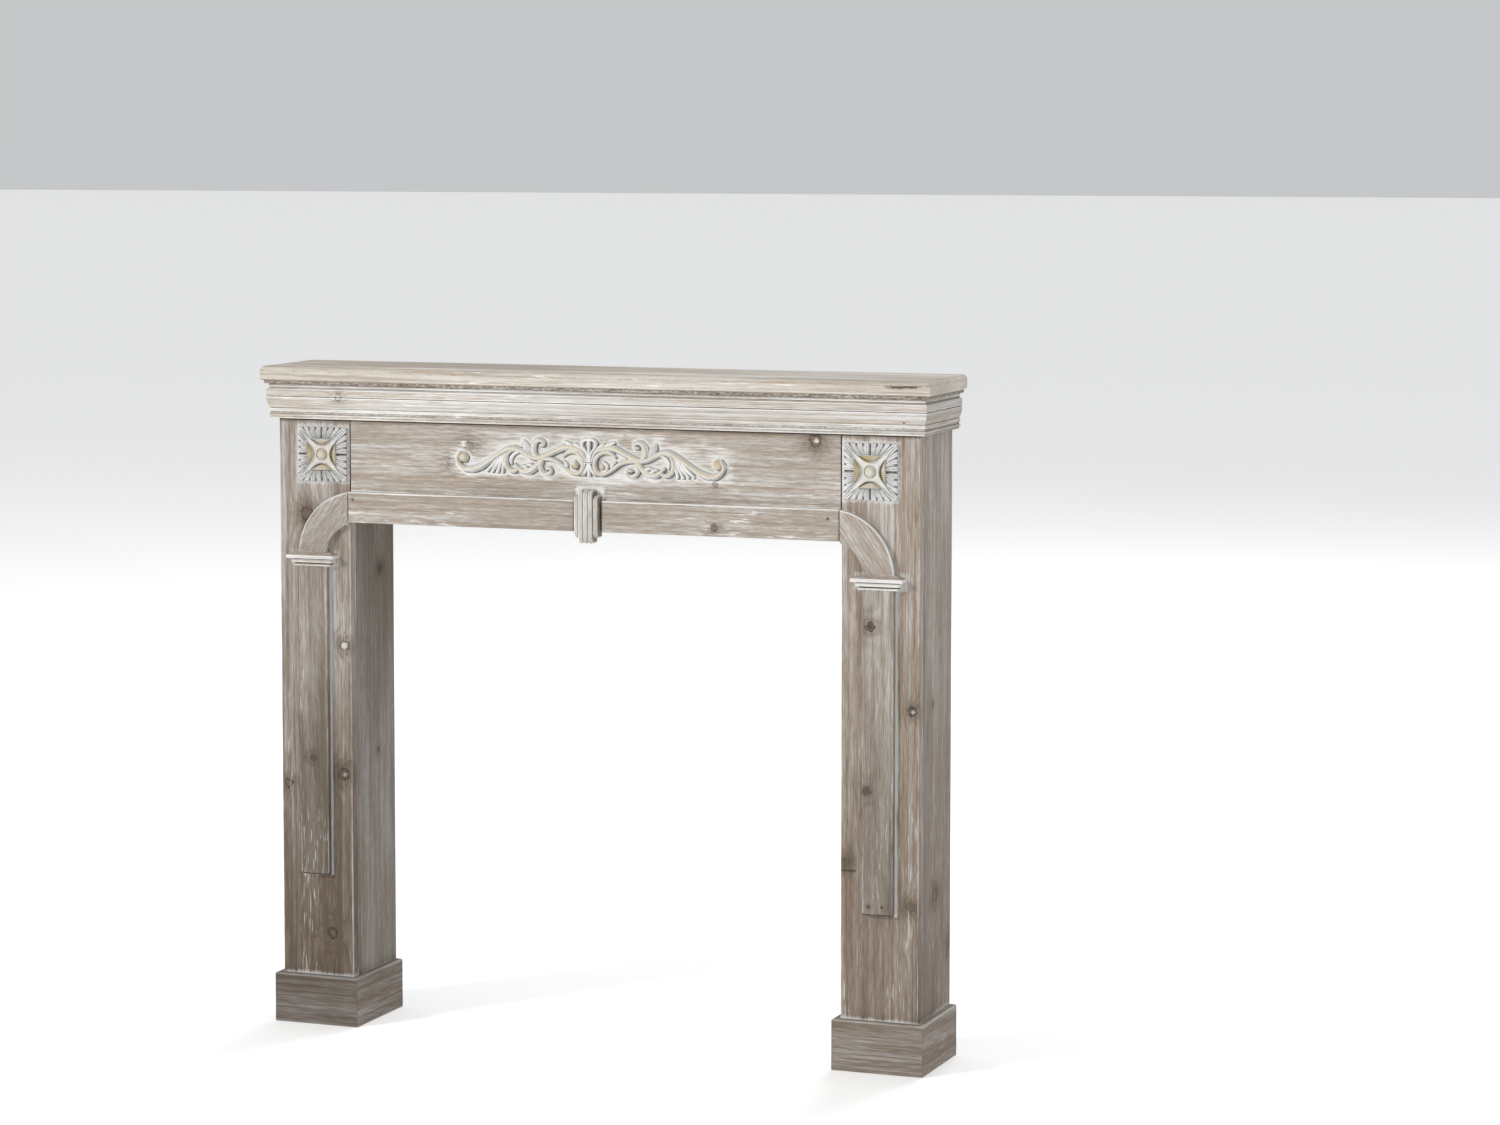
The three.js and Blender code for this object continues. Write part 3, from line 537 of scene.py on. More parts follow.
for number, hand in enumerate(["left", "right"]):
    node = "stile_" + hand
    lo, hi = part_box(node)
    material = fir_material(
        "lime_fir_" + node, Z_AXIS, (0.9 * number + 0.1, 0.015, -0.43 + 0.86 * number),
        STILE_COLOURS, 0.6, 0.5, 0.35, STILE_KNOTS[hand], shaded=(0.75, 0.1, LEG_FOOT_SHADE[hand]),
        tone=LEG_TONE[hand], shadow_line=SHADOW_LINE_HEIGHT, uneven=1.8, drawn=1.7,
    )
    points, faces = rounded_board(lo, hi, Z_AXIS, 0.8 * MM, 3 * MM)
    x, y, z = points.T
    at_frieze = np.clip((z - RAIL_FOOT) / (5 * MM), 0, 1) * (np.abs(x) < STILE_INSIDE)
    rubbed = 0.6 * (1 - at_frieze) * arris_lime_and_highlight(points, lo, hi, 1.5 * MM)
    # A painted shadow line on the stile just under the foot of the strip; the split is a real crack.
    strip_lo, strip_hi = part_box("pilaster_strip_" + hand)
    under_strip = fading(z - strip_lo[2] + 0.8 * MM, 1.7 * MM)
    under_strip *= (x > strip_lo[0]) * (x < strip_hi[0])
    split = fading(z - SPLIT_HEIGHT, 2.4 * MM) * (x > SPLIT_REACH[0]) * (x < SPLIT_REACH[1])
    marks = {
        "lime_and_highlight": np.maximum(rubbed, plinth_lime(points)),
        "grime_and_shade": np.maximum(0.85 * under_strip, 0.95 * split) * (y < FRONT + 0.5 * MM),
    }
    stiles[hand] = finished_piece(node + "_board", points, faces, material, [node], marks)


# Plinth: mitred boards round the foot of each leg on its three open sides, nailed on. The top
# outer arris is planed off, and the grain runs round the leg.
def profile_of(start, moves):
    """Points (out, up) in metres of a moulding given in millimetres.

    A move of (out, up) is a straight cut, with extra points close to its ends so that rubbed
    edges stay narrow; (out, up, bow) is a curve that swells from the straight by bow * sin(pi t).
    """
    points = [start]
    for move in moves:
        d_out, d_up, bow = (*move, 0.0)[:3]
        length = math.hypot(d_out, d_up)
        if bow:
            share = np.linspace(0, 1, 9)[1:]
        elif length > 2.2:
            near = np.array([0.7, 2.2] if length > 6 else [0.7]) / length
            middle = spaced(near[-1], 1 - near[-1], 6 / length)[1:-1]
            share = np.concatenate([near, middle, 1 - near[::-1], [1.0]])
        else:
            share = np.array([1.0])
        x, y = points[-1]
        points += [(x + d_out * t + bow * math.sin(math.pi * t), y + d_up * t) for t in share]
    return np.array(points) * MM


def corner_line(profile, outward=1, width=0.9 * MM, closed=True):
    """A mark along the corners of a closed profile: outward ones (1) or inward ones (-1).

    It is sharp * exp(-(distance / width)^2), where sharp goes from 0 to 1 as the turn nears 50
    degrees, and the greatest over all corners is kept.
    """
    back, ahead = profile - np.roll(profile, 1, axis=0), np.roll(profile, -1, axis=0) - profile
    cross = back[:, 0] * ahead[:, 1] - back[:, 1] * ahead[:, 0]
    turn = outward * np.arctan2(cross, (back * ahead).sum(axis=1))
    sharp = np.clip(turn / math.radians(50), 0, 1)
    if not closed:
        sharp[[0, -1]] = 0
    away = np.hypot(*(profile[:, None, :] - profile[None, :, :]).transpose(2, 0, 1))
    return (sharp[None, :] * fading(away, width)).max(axis=1)


def carried_moulding(profile, corner, out, along, start, end, start_mitre, end_mitre, step):
    """A closed profile of (out, up) points carried along a straight run.

    A point of it stands at corner + out * o + up * h + along * a, where a goes from
    start - start_mitre * o to end + end_mitre * o, so that a mitred end is cut at 45 degrees.
    """
    share = spaced(0, 1, step / abs(end - start))[:, None]
    first = start - start_mitre * profile[None, :, 0]
    last = end + end_mitre * profile[None, :, 0]
    place = first * (1 - share) + last * share
    points = np.array(corner, float) + profile[None, :, :1] * np.array(out, float) \
        + place[..., None] * np.array(along, float)
    points[..., 2] += profile[None, :, 1]
    return points.reshape(-1, 3), grid_faces(len(share), len(profile))


PLINTH_COLOURS = (0.19, 0.155, 0.125), (0.12, 0.092, 0.072), (0.34, 0.32, 0.295)
# The left plinth's darker tone is painted shade, and the returns' lighter tone is painted light.
PLINTH_TONE, RETURN_TONE = {"left": 0.61, "right": 0.97}, {"left": 1.45, "right": 1.2}
PLINTH_JOINT = 0.15 * MM
LEG_FACES = {"outer": 506.5 * MM, "inner": 389.5 * MM}
BACK = 0.0865
plinth_profile = profile_of((0.2, 0), [(10.2, 0), (0, 73.4), (-1.6, 1.6), (-8.6, 0), (0, -75)])[:-1]
for sign, hand in [(-1, "left"), (1, "right")]:
    for number, run in enumerate(["front", "outer", "inner"]):
        node = "plinth_%s_%s" % (run, hand)
        if run == "front":
            axis, corner_x, out, along = X_AXIS, sign * LEG_FACES["inner"], (0, -1, 0), (sign, 0, 0)
            end, end_mitre = LEG_FACES["outer"] - LEG_FACES["inner"] - PLINTH_JOINT, 1
            tone = PLINTH_TONE[hand]
        else:
            away = sign if run == "outer" else -sign
            axis, corner_x, out, along = Y_AXIS, sign * LEG_FACES[run], (away, 0, 0), (0, 1, 0)
            end, end_mitre = BACK - FRONT, 0
            tone = PLINTH_TONE[hand] * RETURN_TONE[hand]
        points, faces = carried_moulding(
            plinth_profile, (corner_x, FRONT, 0), out, along, PLINTH_JOINT, end, 1, end_mitre, 3 * MM,
        )
        material = fir_material(
            "lime_fir_" + node, axis, (0.21 * number + sign, 0.03, -0.09 - 0.05 * number),
            PLINTH_COLOURS, 0.52, 0.4, 0.28, tone=tone, uneven=1.5, drawn=2.2,
        )
        count = len(points) // len(plinth_profile)
        # Lime with a painted highlight on the outward corners of the profile.
        marks = {"lime_and_highlight": np.tile(0.9 * corner_line(plinth_profile), count)}
        finished_piece(node + "_board", points, faces, material, [node], marks)


# Frieze: one wide board between the legs, with the grain across the opening. The rail and the
# scroll are fixed on its face, and lime is left thick round them.
FRIEZE_COLOURS = (0.34, 0.295, 0.25), (0.23, 0.19, 0.155), (0.55, 0.535, 0.51)
FRIEZE_END = 387.2 * MM
FRIEZE_KNOTS = [
    ((0.350, FRONT, 0.910), 0.008, 0.7, 0.2), ((-0.194, FRONT, 0.887), 0.007, 0.4, 0.6),
    ((-0.222, FRONT, 0.863), 0.006, 0.4, 0.7), ((0.197, FRONT, 0.842), 0.004, 0.5, 0.7),
]
lo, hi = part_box("frieze_board")
points, faces = rounded_board(lo, hi, X_AXIS, 0.8 * MM, 2.6 * MM)
material = fir_material(
    "lime_fir_frieze", X_AXIS, (0, 0.02, -0.93), FRIEZE_COLOURS, 0.56, 0.9, 0.3, FRIEZE_KNOTS,
    shadow_line=SHADOW_LINE_HEIGHT, uneven=1.2, drawn=1.3,
)
at_joint = np.clip((np.abs(points[:, 0]) - FRIEZE_END) / (0.5 * MM), 0, 1)
marks = {"lime_and_highlight": 0.4 * (1 - at_joint) * arris_lime_and_highlight(points, lo, hi, 2 * MM), "grime_and_shade": 0.6 * at_joint}
frieze = finished_piece("frieze_plank", points, faces, material, ["frieze_board"], marks)


def lime_round(board, gap, reach, strength):
    """Lime left in the corner round an applied piece: strength * exp(-(gap / reach)^1.3).

    gap(x, z) is the distance to the piece's outline; only the board's front face is touched.
    """
    count = len(board.data.vertices)
    places = np.zeros(count * 3, np.float32)
    board.data.vertices.foreach_get("co", places)
    places = places.reshape(-1, 3)
    layer = board.data.attributes["lime_and_highlight"].data
    lime = np.zeros(count, np.float32)
    layer.foreach_get("value", lime)
    front = places[:, 1] < FRONT + 0.4 * MM
    far = np.maximum(gap(places[front, 0].astype(float), places[front, 2].astype(float)), 0)
    lime[front] = np.maximum(lime[front], strength * fading(far, reach, 1.3))
    layer.foreach_set("value", lime)


def beyond(value, low, high):
    """How far a value lies outside a range, and 0 within it."""
    return np.maximum(np.maximum(low - value, value - high), 0)


def box_gap(node):
    """Distance on the face from the outline of a node's box."""
    lo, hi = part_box(node)
    return lambda x, z: np.hypot(beyond(x, lo[0], hi[0]), beyond(z, lo[2], hi[2]))


# Rail: two flat bands on the lower edge of the frieze, one each side of the keystone, with the
# arrises rubbed white and the top arris whitest, partly as a painted highlight. Its knots and
# nail holes show through the wash.
BAND_COLOURS, BAND_FACE = FRIEZE_COLOURS, -0.0745
NAIL_HOLE = (0.0018, 1.0, 1.0)
RAIL_KNOTS = {
    "arch_rail_left": [((-0.38, BAND_FACE, 0.802), *NAIL_HOLE)],
    "arch_rail_right": [
        ((0.198, BAND_FACE, 0.78), 0.005, 0.8, 0.5), ((0.372, BAND_FACE, 0.80), *NAIL_HOLE),
    ],
}
for number, node in enumerate(["arch_rail_left", "arch_rail_right"]):
    lo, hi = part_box(node)
    material = fir_material(
        "lime_fir_" + node, X_AXIS, (0.7 * number, 0.03, -0.76), BAND_COLOURS, 0.45, 0.7, 0.3,
        RAIL_KNOTS[node], drawn=1.4,
    )
    points, faces = rounded_board(lo, hi, X_AXIS, 1.1 * MM, 3 * MM)
    # The top arris gets full lime with a painted highlight; the other arrises little.
    top = points[:, 2] > hi[2] - 2 * MM
    marks = {"lime_and_highlight": np.where(top, 1.0, 0.15) * arris_lime_and_highlight(points, lo, hi, 2.4 * MM)}
    finished_piece(node + "_band", points, faces, material, [node], marks)
    lime_round(frieze, box_gap(node), 4 * MM, 0.6)


# Pilaster strips: flat bands down the middle of each leg, under the capitals, with the grain
# upright and the arrises eased. Lime lies beside them on the stile, most on their right.
def side_gap(line_x, low, high):
    """Distance on the face from an upright line between two heights."""
    return lambda x, z: np.hypot(x - line_x, beyond(z, low, high))


STRIP_COLOURS = (0.285, 0.25, 0.215), (0.17, 0.14, 0.115), (0.48, 0.47, 0.45)
# The left strip's darker tone is painted shade.
STRIP_TONE = {"left": 0.93, "right": 1.02}
STRIP_KNOTS = {
    "left": [((-0.449, BAND_FACE, 0.409), 0.0045, 1.0, 0.3)],
    "right": [
        ((0.436, BAND_FACE, 0.647), 0.006, 0.9, 0.8), ((0.43, BAND_FACE, 0.41), 0.005, 0.8, 0.6),
        ((0.455, BAND_FACE, 0.243), *NAIL_HOLE), ((0.435, BAND_FACE, 0.243), *NAIL_HOLE),
    ],
}
for number, hand in enumerate(["left", "right"]):
    node = "pilaster_strip_" + hand
    lo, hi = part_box(node)
    material = fir_material(
        "lime_fir_" + node, Z_AXIS, (0.5 * number + 0.3, 0.02, -0.46 + 0.9 * number),
        STRIP_COLOURS, 0.5, 0.6, 0.3, STRIP_KNOTS[hand], shaded=(0.65, 0.25, LEG_FOOT_SHADE[hand]),
        tone=STRIP_TONE[hand], uneven=1.8, drawn=1.7,
    )
    points, faces = rounded_board(lo, hi, Z_AXIS, 1.2 * MM, 3 * MM)
    # Painted shadow on the bottom arris, which gets no lime.
    end = points[:, 2] < lo[2] + 1.3 * MM
    marks = {"lime_and_highlight": 0.55 * (1 - end) * arris_lime_and_highlight(points, lo, hi, 1.6 * MM), "grime_and_shade": 0.7 * end}
    finished_piece(node + "_band", points, faces, material, [node], marks)
    lime_round(stiles[hand], box_gap(node), 6 * MM, 0.5)
    lime_round(stiles[hand], side_gap(hi[0] + 2 * MM, lo[2], hi[2]), 3 * MM, 1.0)


# Arch quadrants: quarter rings sawn from a board, between the rail and the capitals, with slanting
# grain. The outer edge carries a white line, and the foot is scribed over the capital's slope.
ARC_CENTRE, ARC_INNER, ARC_OUTER = (375 * MM, 717.5 * MM), 50 * MM, 96 * MM
BAND_THICKNESS, BAND_ARRIS = 10 * MM, 1.1 * MM
ARC_END_X, ARC_FOOT, ARC_FOOT_DROP, ARC_FOOT_SET = 389.8 * MM, 722.9 * MM, 1.8 * MM, 4.3 * MM
turn = np.radians(np.linspace(0, 90, 4))
arris_in, arris_up = BAND_ARRIS * (1 - np.cos(turn)), BAND_THICKNESS - BAND_ARRIS * (1 - np.sin(turn))
flat = spaced(ARC_OUTER - 2 * MM, ARC_INNER + 2 * MM, 3 * MM)
radius = np.concatenate([
    [ARC_OUTER], ARC_OUTER - arris_in, flat, ARC_INNER + arris_in[::-1], [ARC_INNER],
])
depth = np.concatenate([[0], arris_up, np.full(len(flat), BAND_THICKNESS), arris_up[::-1], [0]])
scribed = np.clip((depth - ARC_FOOT_SET) / (BAND_THICKNESS - ARC_FOOT_SET), 0, 1)
low = np.arcsin((ARC_FOOT - ARC_FOOT_DROP * scribed - ARC_CENTRE[1]) / radius)
high = np.arccos((ARC_END_X - ARC_CENTRE[0]) / radius)
share = np.linspace(0, 1, 49)[:, None]
angle = low * (1 - share) + high * share
outer_edge = fading(ARC_OUTER - radius, 2 * MM, 1.5)
inner_edge = 0.5 * fading(radius - ARC_INNER, 2 * MM, 1.5)
edge = np.maximum(outer_edge, inner_edge) * (depth > 0.5 * BAND_THICKNESS)
edge = np.broadcast_to(edge, angle.shape)
foot_lime = 0.5 * fading(share, 1 / 40, 1.2) * np.ones_like(angle)


def ring_gap(side):
    """Distance on the face from a quarter ring on one side, about the arch's centre."""
    def gap(x, z):
        out, up = side * x - ARC_CENTRE[0], z - ARC_CENTRE[1]
        away = np.hypot(out, up)
        return np.where((out > 0) & (up > 0), np.maximum(away - ARC_OUTER, ARC_INNER - away), 1.0)
    return gap


for sign, hand in [(-1, "left"), (1, "right")]:
    node = "arch_quadrant_" + hand
    points = np.stack([
        sign * (ARC_CENTRE[0] + radius * np.cos(angle)),
        FRONT - np.broadcast_to(depth, angle.shape),
        ARC_CENTRE[1] + radius * np.sin(angle),
    ], axis=-1).reshape(-1, 3)
    # The left quadrant's darker tone is painted shade.
    material = fir_material(
        "lime_fir_" + node, X_AXIS, (0.1, 0.02, 0.4 * sign), BAND_COLOURS, 0.5, 0.8, 0.3,
        turn=(0, -sign * math.radians(55), 0), tone=0.91 + 0.09 * sign,
    )
    marks = {"lime_and_highlight": np.maximum(edge, foot_lime).reshape(-1)}
    finished_piece(node + "_band", points, grid_faces(*angle.shape), material, [node], marks)
    lime_round(stiles[hand], ring_gap(sign), 4 * MM, 0.6)


# Lime fills: putty pressed into old knots on both stiles and on the frieze, and rubbed flat. They
# are marks on the boards' faces, at the places that the photograph shows.
def spot_gap(spot_x, spot_z, radius):
    """Distance on the face from a round spot."""
    return lambda x, z: np.hypot(x - spot_x, z - spot_z) - radius


for board, spot_x, spot_z, radius, reach, strength in [
    (stiles["left"], -0.401, 0.58, 3, 4, 0.62), (stiles["left"], -0.402, 0.384, 1, 3, 0.9),
    (stiles["right"], 0.498, 0.526, 1, 3, 0.9),
    (frieze, -0.202, 0.890, 3, 5, 0.7), (frieze, 0.351, 0.910, 2, 3, 1.0),
]:
    lime_round(board, spot_gap(spot_x, spot_z, radius * MM), reach * MM, strength)


# Capitals: small moulded blocks on the pilaster strips, worked on the front and both ends and
# sloping off above. The highlights run along their two beads.
def moulded_block(profile, lo, hi, step, corner=0.8 * MM, wear=None):
    """A block whose moulding runs round its front and both ends.

    The ring of each profile point (out, up) is the rectangle from lo to hi, grown by out on the
    left, right and front, with its corners eased. wear holds an amount for each point along the
    ring and a weight for each ring, and is taken off the growth.
    """
    ease = np.array([[1.0, 0.0], [0.3, 0.3], [0.0, 1.0]]) * corner
    front = spaced(lo[0] + 2 * corner, hi[0] - 2 * corner, step)
    side = spaced(lo[1] + 2 * corner, hi[1], step)
    back = spaced(hi[0], lo[0], step)[1:-1]
    ones, m, n, k = np.ones, len(side), len(front), len(back)
    x = np.concatenate([
        lo[0] * ones(m), lo[0] + ease[::-1, 0], front, hi[0] - ease[:, 0], hi[0] * ones(m), back,
    ])
    y = np.concatenate([
        side[::-1], lo[1] + ease[::-1, 1], lo[1] * ones(n), lo[1] + ease[:, 1], side, hi[1] * ones(k),
    ])
    grow_x = np.concatenate([
        -ones(m + 3), np.linspace(-1, 1, n + 2)[1:-1], ones(m + 3), np.linspace(1, -1, k + 2)[1:-1],
    ])
    grow_y = np.concatenate([-np.linspace(0, 1, m), -ones(n + 6), -np.linspace(1, 0, m), np.zeros(k)])
    out = np.repeat(profile[:, :1], len(x), axis=1)
    if wear is not None:
        out = out - wear[1][:, None] * wear[0](x, y)[None, :]
    points = np.stack([
        x + out * grow_x, y + out * grow_y, np.repeat(profile[:, 1:], len(x), axis=1),
    ], axis=-1)
    return points.reshape(-1, 3), grid_faces(len(profile), len(x)), len(x)


capital_profile = profile_of((-3, 700), [
    (9.2, 0), (0, 4.6), (3.8, 0.8), (0, 4.4), (-1.6, 1), (7.8, 1), (0, 4.6), (-16.2, 6.2, 1.24),
    (-3, 0),
])
CAPITAL_SIDES, CAPITAL_NECK = (425 * MM, 471 * MM), 4.3 * MM
for sign, hand in [(-1, "left"), (1, "right")]:
    node = "capital_" + hand
    low_x, high_x = sorted(sign * side for side in CAPITAL_SIDES)
    points, faces, columns = moulded_block(
        capital_profile, (low_x, FRONT - CAPITAL_NECK), (high_x, FRONT), 2 * MM, 0.6 * MM,
    )
    material = fir_material(
        "lime_fir_" + node, X_AXIS, (0.3 * sign, 0.03, -0.68), BAND_COLOURS, 0.6, 0.6, 0.2,
    )
    # Lime with a painted highlight on the outward corners of the beads, and painted shade in the inward
    # corners.
    marks = {
        "lime_and_highlight": np.repeat(corner_line(capital_profile, 1, 1.3 * MM, False), columns),
        "grime_and_shade": np.repeat(corner_line(capital_profile, -1, 1.6 * MM, False), columns),
    }
    finished_piece(node + "_block", points, faces, material, [node], marks)
    lime_round(stiles[hand], box_gap(node), 6 * MM, 0.6)


# Keystone: five upright reeds in one block over the joint of the rail, the outer two shorter and
# set back. The ends are rounded over, and lime lies thick round its head.
OUTER_REED, MIDDLE_REED = (19.0, 758.5, 822.0), (21.0, 750.5, 830.0)
REEDS = [
    (-19.0, -11.4, *OUTER_REED), (-11.4, -3.8, *MIDDLE_REED), (-3.8, 3.8, *MIDDLE_REED),
    (3.8, 11.4, *MIDDLE_REED), (11.4, 19.0, *OUTER_REED),
]
REED_END_RADIUS, REED_ROUND, REED_JOINT = 9.0, 3.2, 0.05


def reed(x0, x1, proud, z0, z1):
    """A reed: its side view, a strip with two rounded corners, shrunk towards both cheeks.

    Across the reed u goes from -1 to 1, and the side view is moved in by round * |u|^2.6. The
    measures are in millimetres, and the crest and the cheeks are returned as marks.
    """
    bend = np.radians(np.linspace(-90, 90, 17))
    corner_z = np.where(bend < 0, z0 + REED_END_RADIUS, z1 - REED_END_RADIUS)
    out = np.concatenate([[0, 4], proud - REED_END_RADIUS * (1 - np.cos(bend)), [4, 0]])
    up = np.concatenate([[z0, z0], corner_z + REED_END_RADIUS * np.sin(bend), [z1, z1]])
    lean = np.concatenate([[0, 0], np.cos(bend), [0, 0]])
    rise = np.concatenate([[-1, -1], np.sin(bend), [1, 1]])
    across = np.array([-1, -0.97, -0.9, -0.78, -0.6, -0.3, 0, 0.3, 0.6, 0.78, 0.9, 0.97, 1])[:, None]
    inset = REED_ROUND * np.abs(across) ** 2.6
    x = ((x0 + x1) / 2 + across * ((x1 - x0) / 2 - REED_JOINT)) * np.ones_like(out)
    y = FRONT / MM - np.maximum(out - inset * lean, 0)
    z = up - inset * rise
    crest = np.tile(fading(np.abs(across) - 0.55, 0.25), (1, len(out))).reshape(-1)
    cheek = np.tile(np.clip((np.abs(across) - 0.84) / 0.14, 0, 1), (1, len(out))).reshape(-1)
    points = np.stack([x, y, z], axis=-1).reshape(-1, 3) * MM
    return points, grid_faces(len(across), len(out)), crest, cheek


points, reed_faces, lime, darkening = zip(*(reed(*row) for row in REEDS))
faces, before = [], 0
for part_points, part_faces in zip(points, reed_faces):
    faces += [[corner + before for corner in face] for face in part_faces]
    before += len(part_points)
material = fir_material("lime_fir_keystone", Z_AXIS, (0.2, 0.03, -0.02), BAND_COLOURS, 0.75, 0.5, 0.2)
# Lime with a painted highlight on the shoulders of each reed, and painted shade in the creases between
# the reeds.
marks = {"lime_and_highlight": 0.8 * np.concatenate(lime), "grime_and_shade": 0.62 * np.concatenate(darkening)}
points = np.concatenate(points)
finished_piece("keystone_reeds", points, faces, material, ["keystone"], marks)
lime_round(frieze, box_gap("keystone"), 5 * MM, 1.0)


# Crown moulding: a bead, a fillet, a broad belly, a quirk, a flat and a cove under the shelf,
# mitred at both front corners. Knots and nail holes are filled with lime.
CROWN_COLOURS = (0.43, 0.385, 0.335), (0.28, 0.24, 0.20), (0.62, 0.61, 0.585)
CROWN_NAILS = [
    ((0.49, -0.076, 0.957), 0.0016, 1.0, 1.0), ((0.486, -0.077, 0.939), 0.0016, 1.0, 1.0),
    ((-0.401, -0.078, 0.955), 0.005, 0.5, 0.4),
]
CROWN_PATCHES = [(-0.403, 0.955), (-0.208, 0.931), (-0.488, 0.954)]
crown_profile = profile_of((0.2, 921.6), [
    (9.8, 0), (0, 3), (0, 4.2, 2.3), (0, 3.4), (1.8, 0), (0, 4.4), (-1.8, 0), (4.5, 17, 1.125),
    (-1.4, 1.1), (1.4, 1.1), (0, 10), (-5, 3, -0.6), (2, 0), (0, 5.2), (-11.3, 0), (0, -52.4),
])[:-1]
# Outward corners get lime with a painted highlight; inward corners and the line just under the shelf get
# painted shade.
crown_lime_and_highlight, crown_shade = corner_line(crown_profile), corner_line(crown_profile, -1, 1.5 * MM)
CROWN_TOP, CROWN_JOINT, BODY_HALF = 974 * MM, 0.15 * MM, 506.5 * MM
crown_shade = np.maximum(crown_shade, fading(crown_profile[:, 1] - CROWN_TOP, 1.3 * MM))
crown_shade *= np.where(crown_profile[:, 1] < 0.94, 0.6, 0.85)
front_run = (CROWN_JOINT - BODY_HALF, BODY_HALF - CROWN_JOINT, 1, 1)
side_run = (CROWN_JOINT, BACK - FRONT, 1, 0)
for node, axis, corner_x, out, along, run, knots, tone in [
    ("crown_front", X_AXIS, 0, (0, -1, 0), (1, 0, 0), front_run, CROWN_NAILS, 1.0),
    ("crown_left", Y_AXIS, -BODY_HALF, (-1, 0, 0), (0, 1, 0), side_run, (), 0.86),
    ("crown_right", Y_AXIS, BODY_HALF, (1, 0, 0), (0, 1, 0), side_run, (), 0.86),
]:
    points, faces = carried_moulding(crown_profile, (corner_x, FRONT, 0), out, along, *run, 4 * MM)
    material = fir_material(
        "lime_fir_" + node, axis, (0.4, 0.04, -0.90), CROWN_COLOURS, 0.66, 0.6, 0.5, knots,
        tone=tone, drawn=2.4,
    )
    count = len(points) // len(crown_profile)
    lime = np.tile(0.76 * crown_lime_and_highlight, count)
    for patch_x, patch_z in CROWN_PATCHES:
        away = np.hypot((points[:, 0] - patch_x) / (11 * MM), (points[:, 2] - patch_z) / (6 * MM))
        lime = np.maximum(lime, 0.62 * fading(away, 1.0))
    marks = {"lime_and_highlight": lime, "grime_and_shade": np.tile(crown_shade, count)}
    finished_piece(node + "_moulding", points, faces, material, [node], marks)


# Shelf: one thick board on top, with a cove, a straight face and a rounded nosing worked on the
# front and both ends. The nosing is worn, with one torn line near the right end, and the wood is
# the palest of all. A painted sheen lightens the top and painted shade greys it, and painted
# shade lies under the nosing.
SHELF_COLOURS = (0.42, 0.37, 0.31), (0.29, 0.245, 0.195), (0.60, 0.575, 0.53)
SHELF_WEAR, NOSING_OUT = 0.3 * MM, 14 * MM
WORN_HEIGHT, TORN_HEIGHT, TORN_X, TORN_HALF = 993.3 * MM, 991.8 * MM, 488 * MM, 34 * MM
shelf_profile = profile_of((11, 974), [
    (6, 0), (0, 3.5), (5, 3, -0.8), (0, 12.8), (-5, 6.7, 1.3), (-3, 0), (-31.5, 0),
])
shelf_out, shelf_up = shelf_profile.T
on_nosing = shelf_out > NOSING_OUT
lean = np.clip((shelf_up - 0.981) / 0.012, 0, 1) * on_nosing


def shelf_wear(x, y):
    """A seeded sum of waves along the nosing, kept where it is positive: small worn dips."""
    rng = np.random.default_rng(11)
    total = np.zeros_like(x)
    for wave in range(24):
        length = rng.uniform(0.012, 0.12)
        height = rng.uniform(0.3, 1.0)
        total += height * np.sin((x + 0.7 * y) * 2 * math.pi / length + rng.uniform(0, 7))
    return SHELF_WEAR * np.clip(total / 4 - 0.25, 0, 1) * np.where(y > FRONT + MM, 0.2, 1.0)


points, faces, columns = moulded_block(
    shelf_profile, (-BODY_HALF, FRONT), (BODY_HALF, BACK), 4 * MM, 0.8 * MM, (shelf_wear, lean),
)
# The top is greyed by painted shade.
material = fir_material(
    "lime_fir_shelf", X_AXIS, (0.2, 0.03, -0.955), SHELF_COLOURS, 0.74, 0.8, 0.5,
    shaded=(0.9985, 0.9995, 0.42), drawn=2.4,
)
# Lime with a painted highlight on the outward corners, and a painted sheen on the top.
rubbed = np.maximum(0.6 * corner_line(shelf_profile, closed=False), 0.36 * (shelf_up > 0.9995))
worn = 0.55 * fading(shelf_up - WORN_HEIGHT, 1.4 * MM) * on_nosing
# Below 979 mm, under the nosing, the mark is painted shade; the line at WORN_HEIGHT is wear.
worn = np.maximum(0.6 * (shelf_up < 0.979), worn)
x, y, z = points.T
torn = fading(z - TORN_HEIGHT, 1.3 * MM) * fading(x - TORN_X, TORN_HALF, 4.0)
torn *= y < FRONT - NOSING_OUT
marks = {"lime_and_highlight": np.repeat(rubbed, columns), "grime_and_shade": np.maximum(np.repeat(worn, columns), torn)}
finished_piece("shelf_board", points, faces, material, ["shelf"], marks)


# Rosettes: cast square flowers under lime, on the stiles. Each has a domed button on a plate with
# four concave sides, a cupped lip on each side, and fluted leaves that fan out to the border.
def smooth_path(stations, steps=6):
    """Points of a curve through the stations, with its width and relief (Catmull-Rom, in numpy)."""
    given = np.array([[*row, 1.0][:4] for row in stations], float)
    held = np.concatenate([2 * given[:1] - given[1:2], given, 2 * given[-1:] - given[-2:-1]])
    t = (np.arange(steps) / steps)[None, :, None]
    a, b, c, d = (held[k:len(held) - 3 + k, None, :] for k in range(4))
    curve = 2 * b + (c - a) * t + (2 * a - 5 * b + 4 * c - d) * t ** 2 + (3 * b - a - 3 * c + d) * t ** 3
    return np.concatenate([0.5 * curve.reshape(-1, 4), given[-1:]])


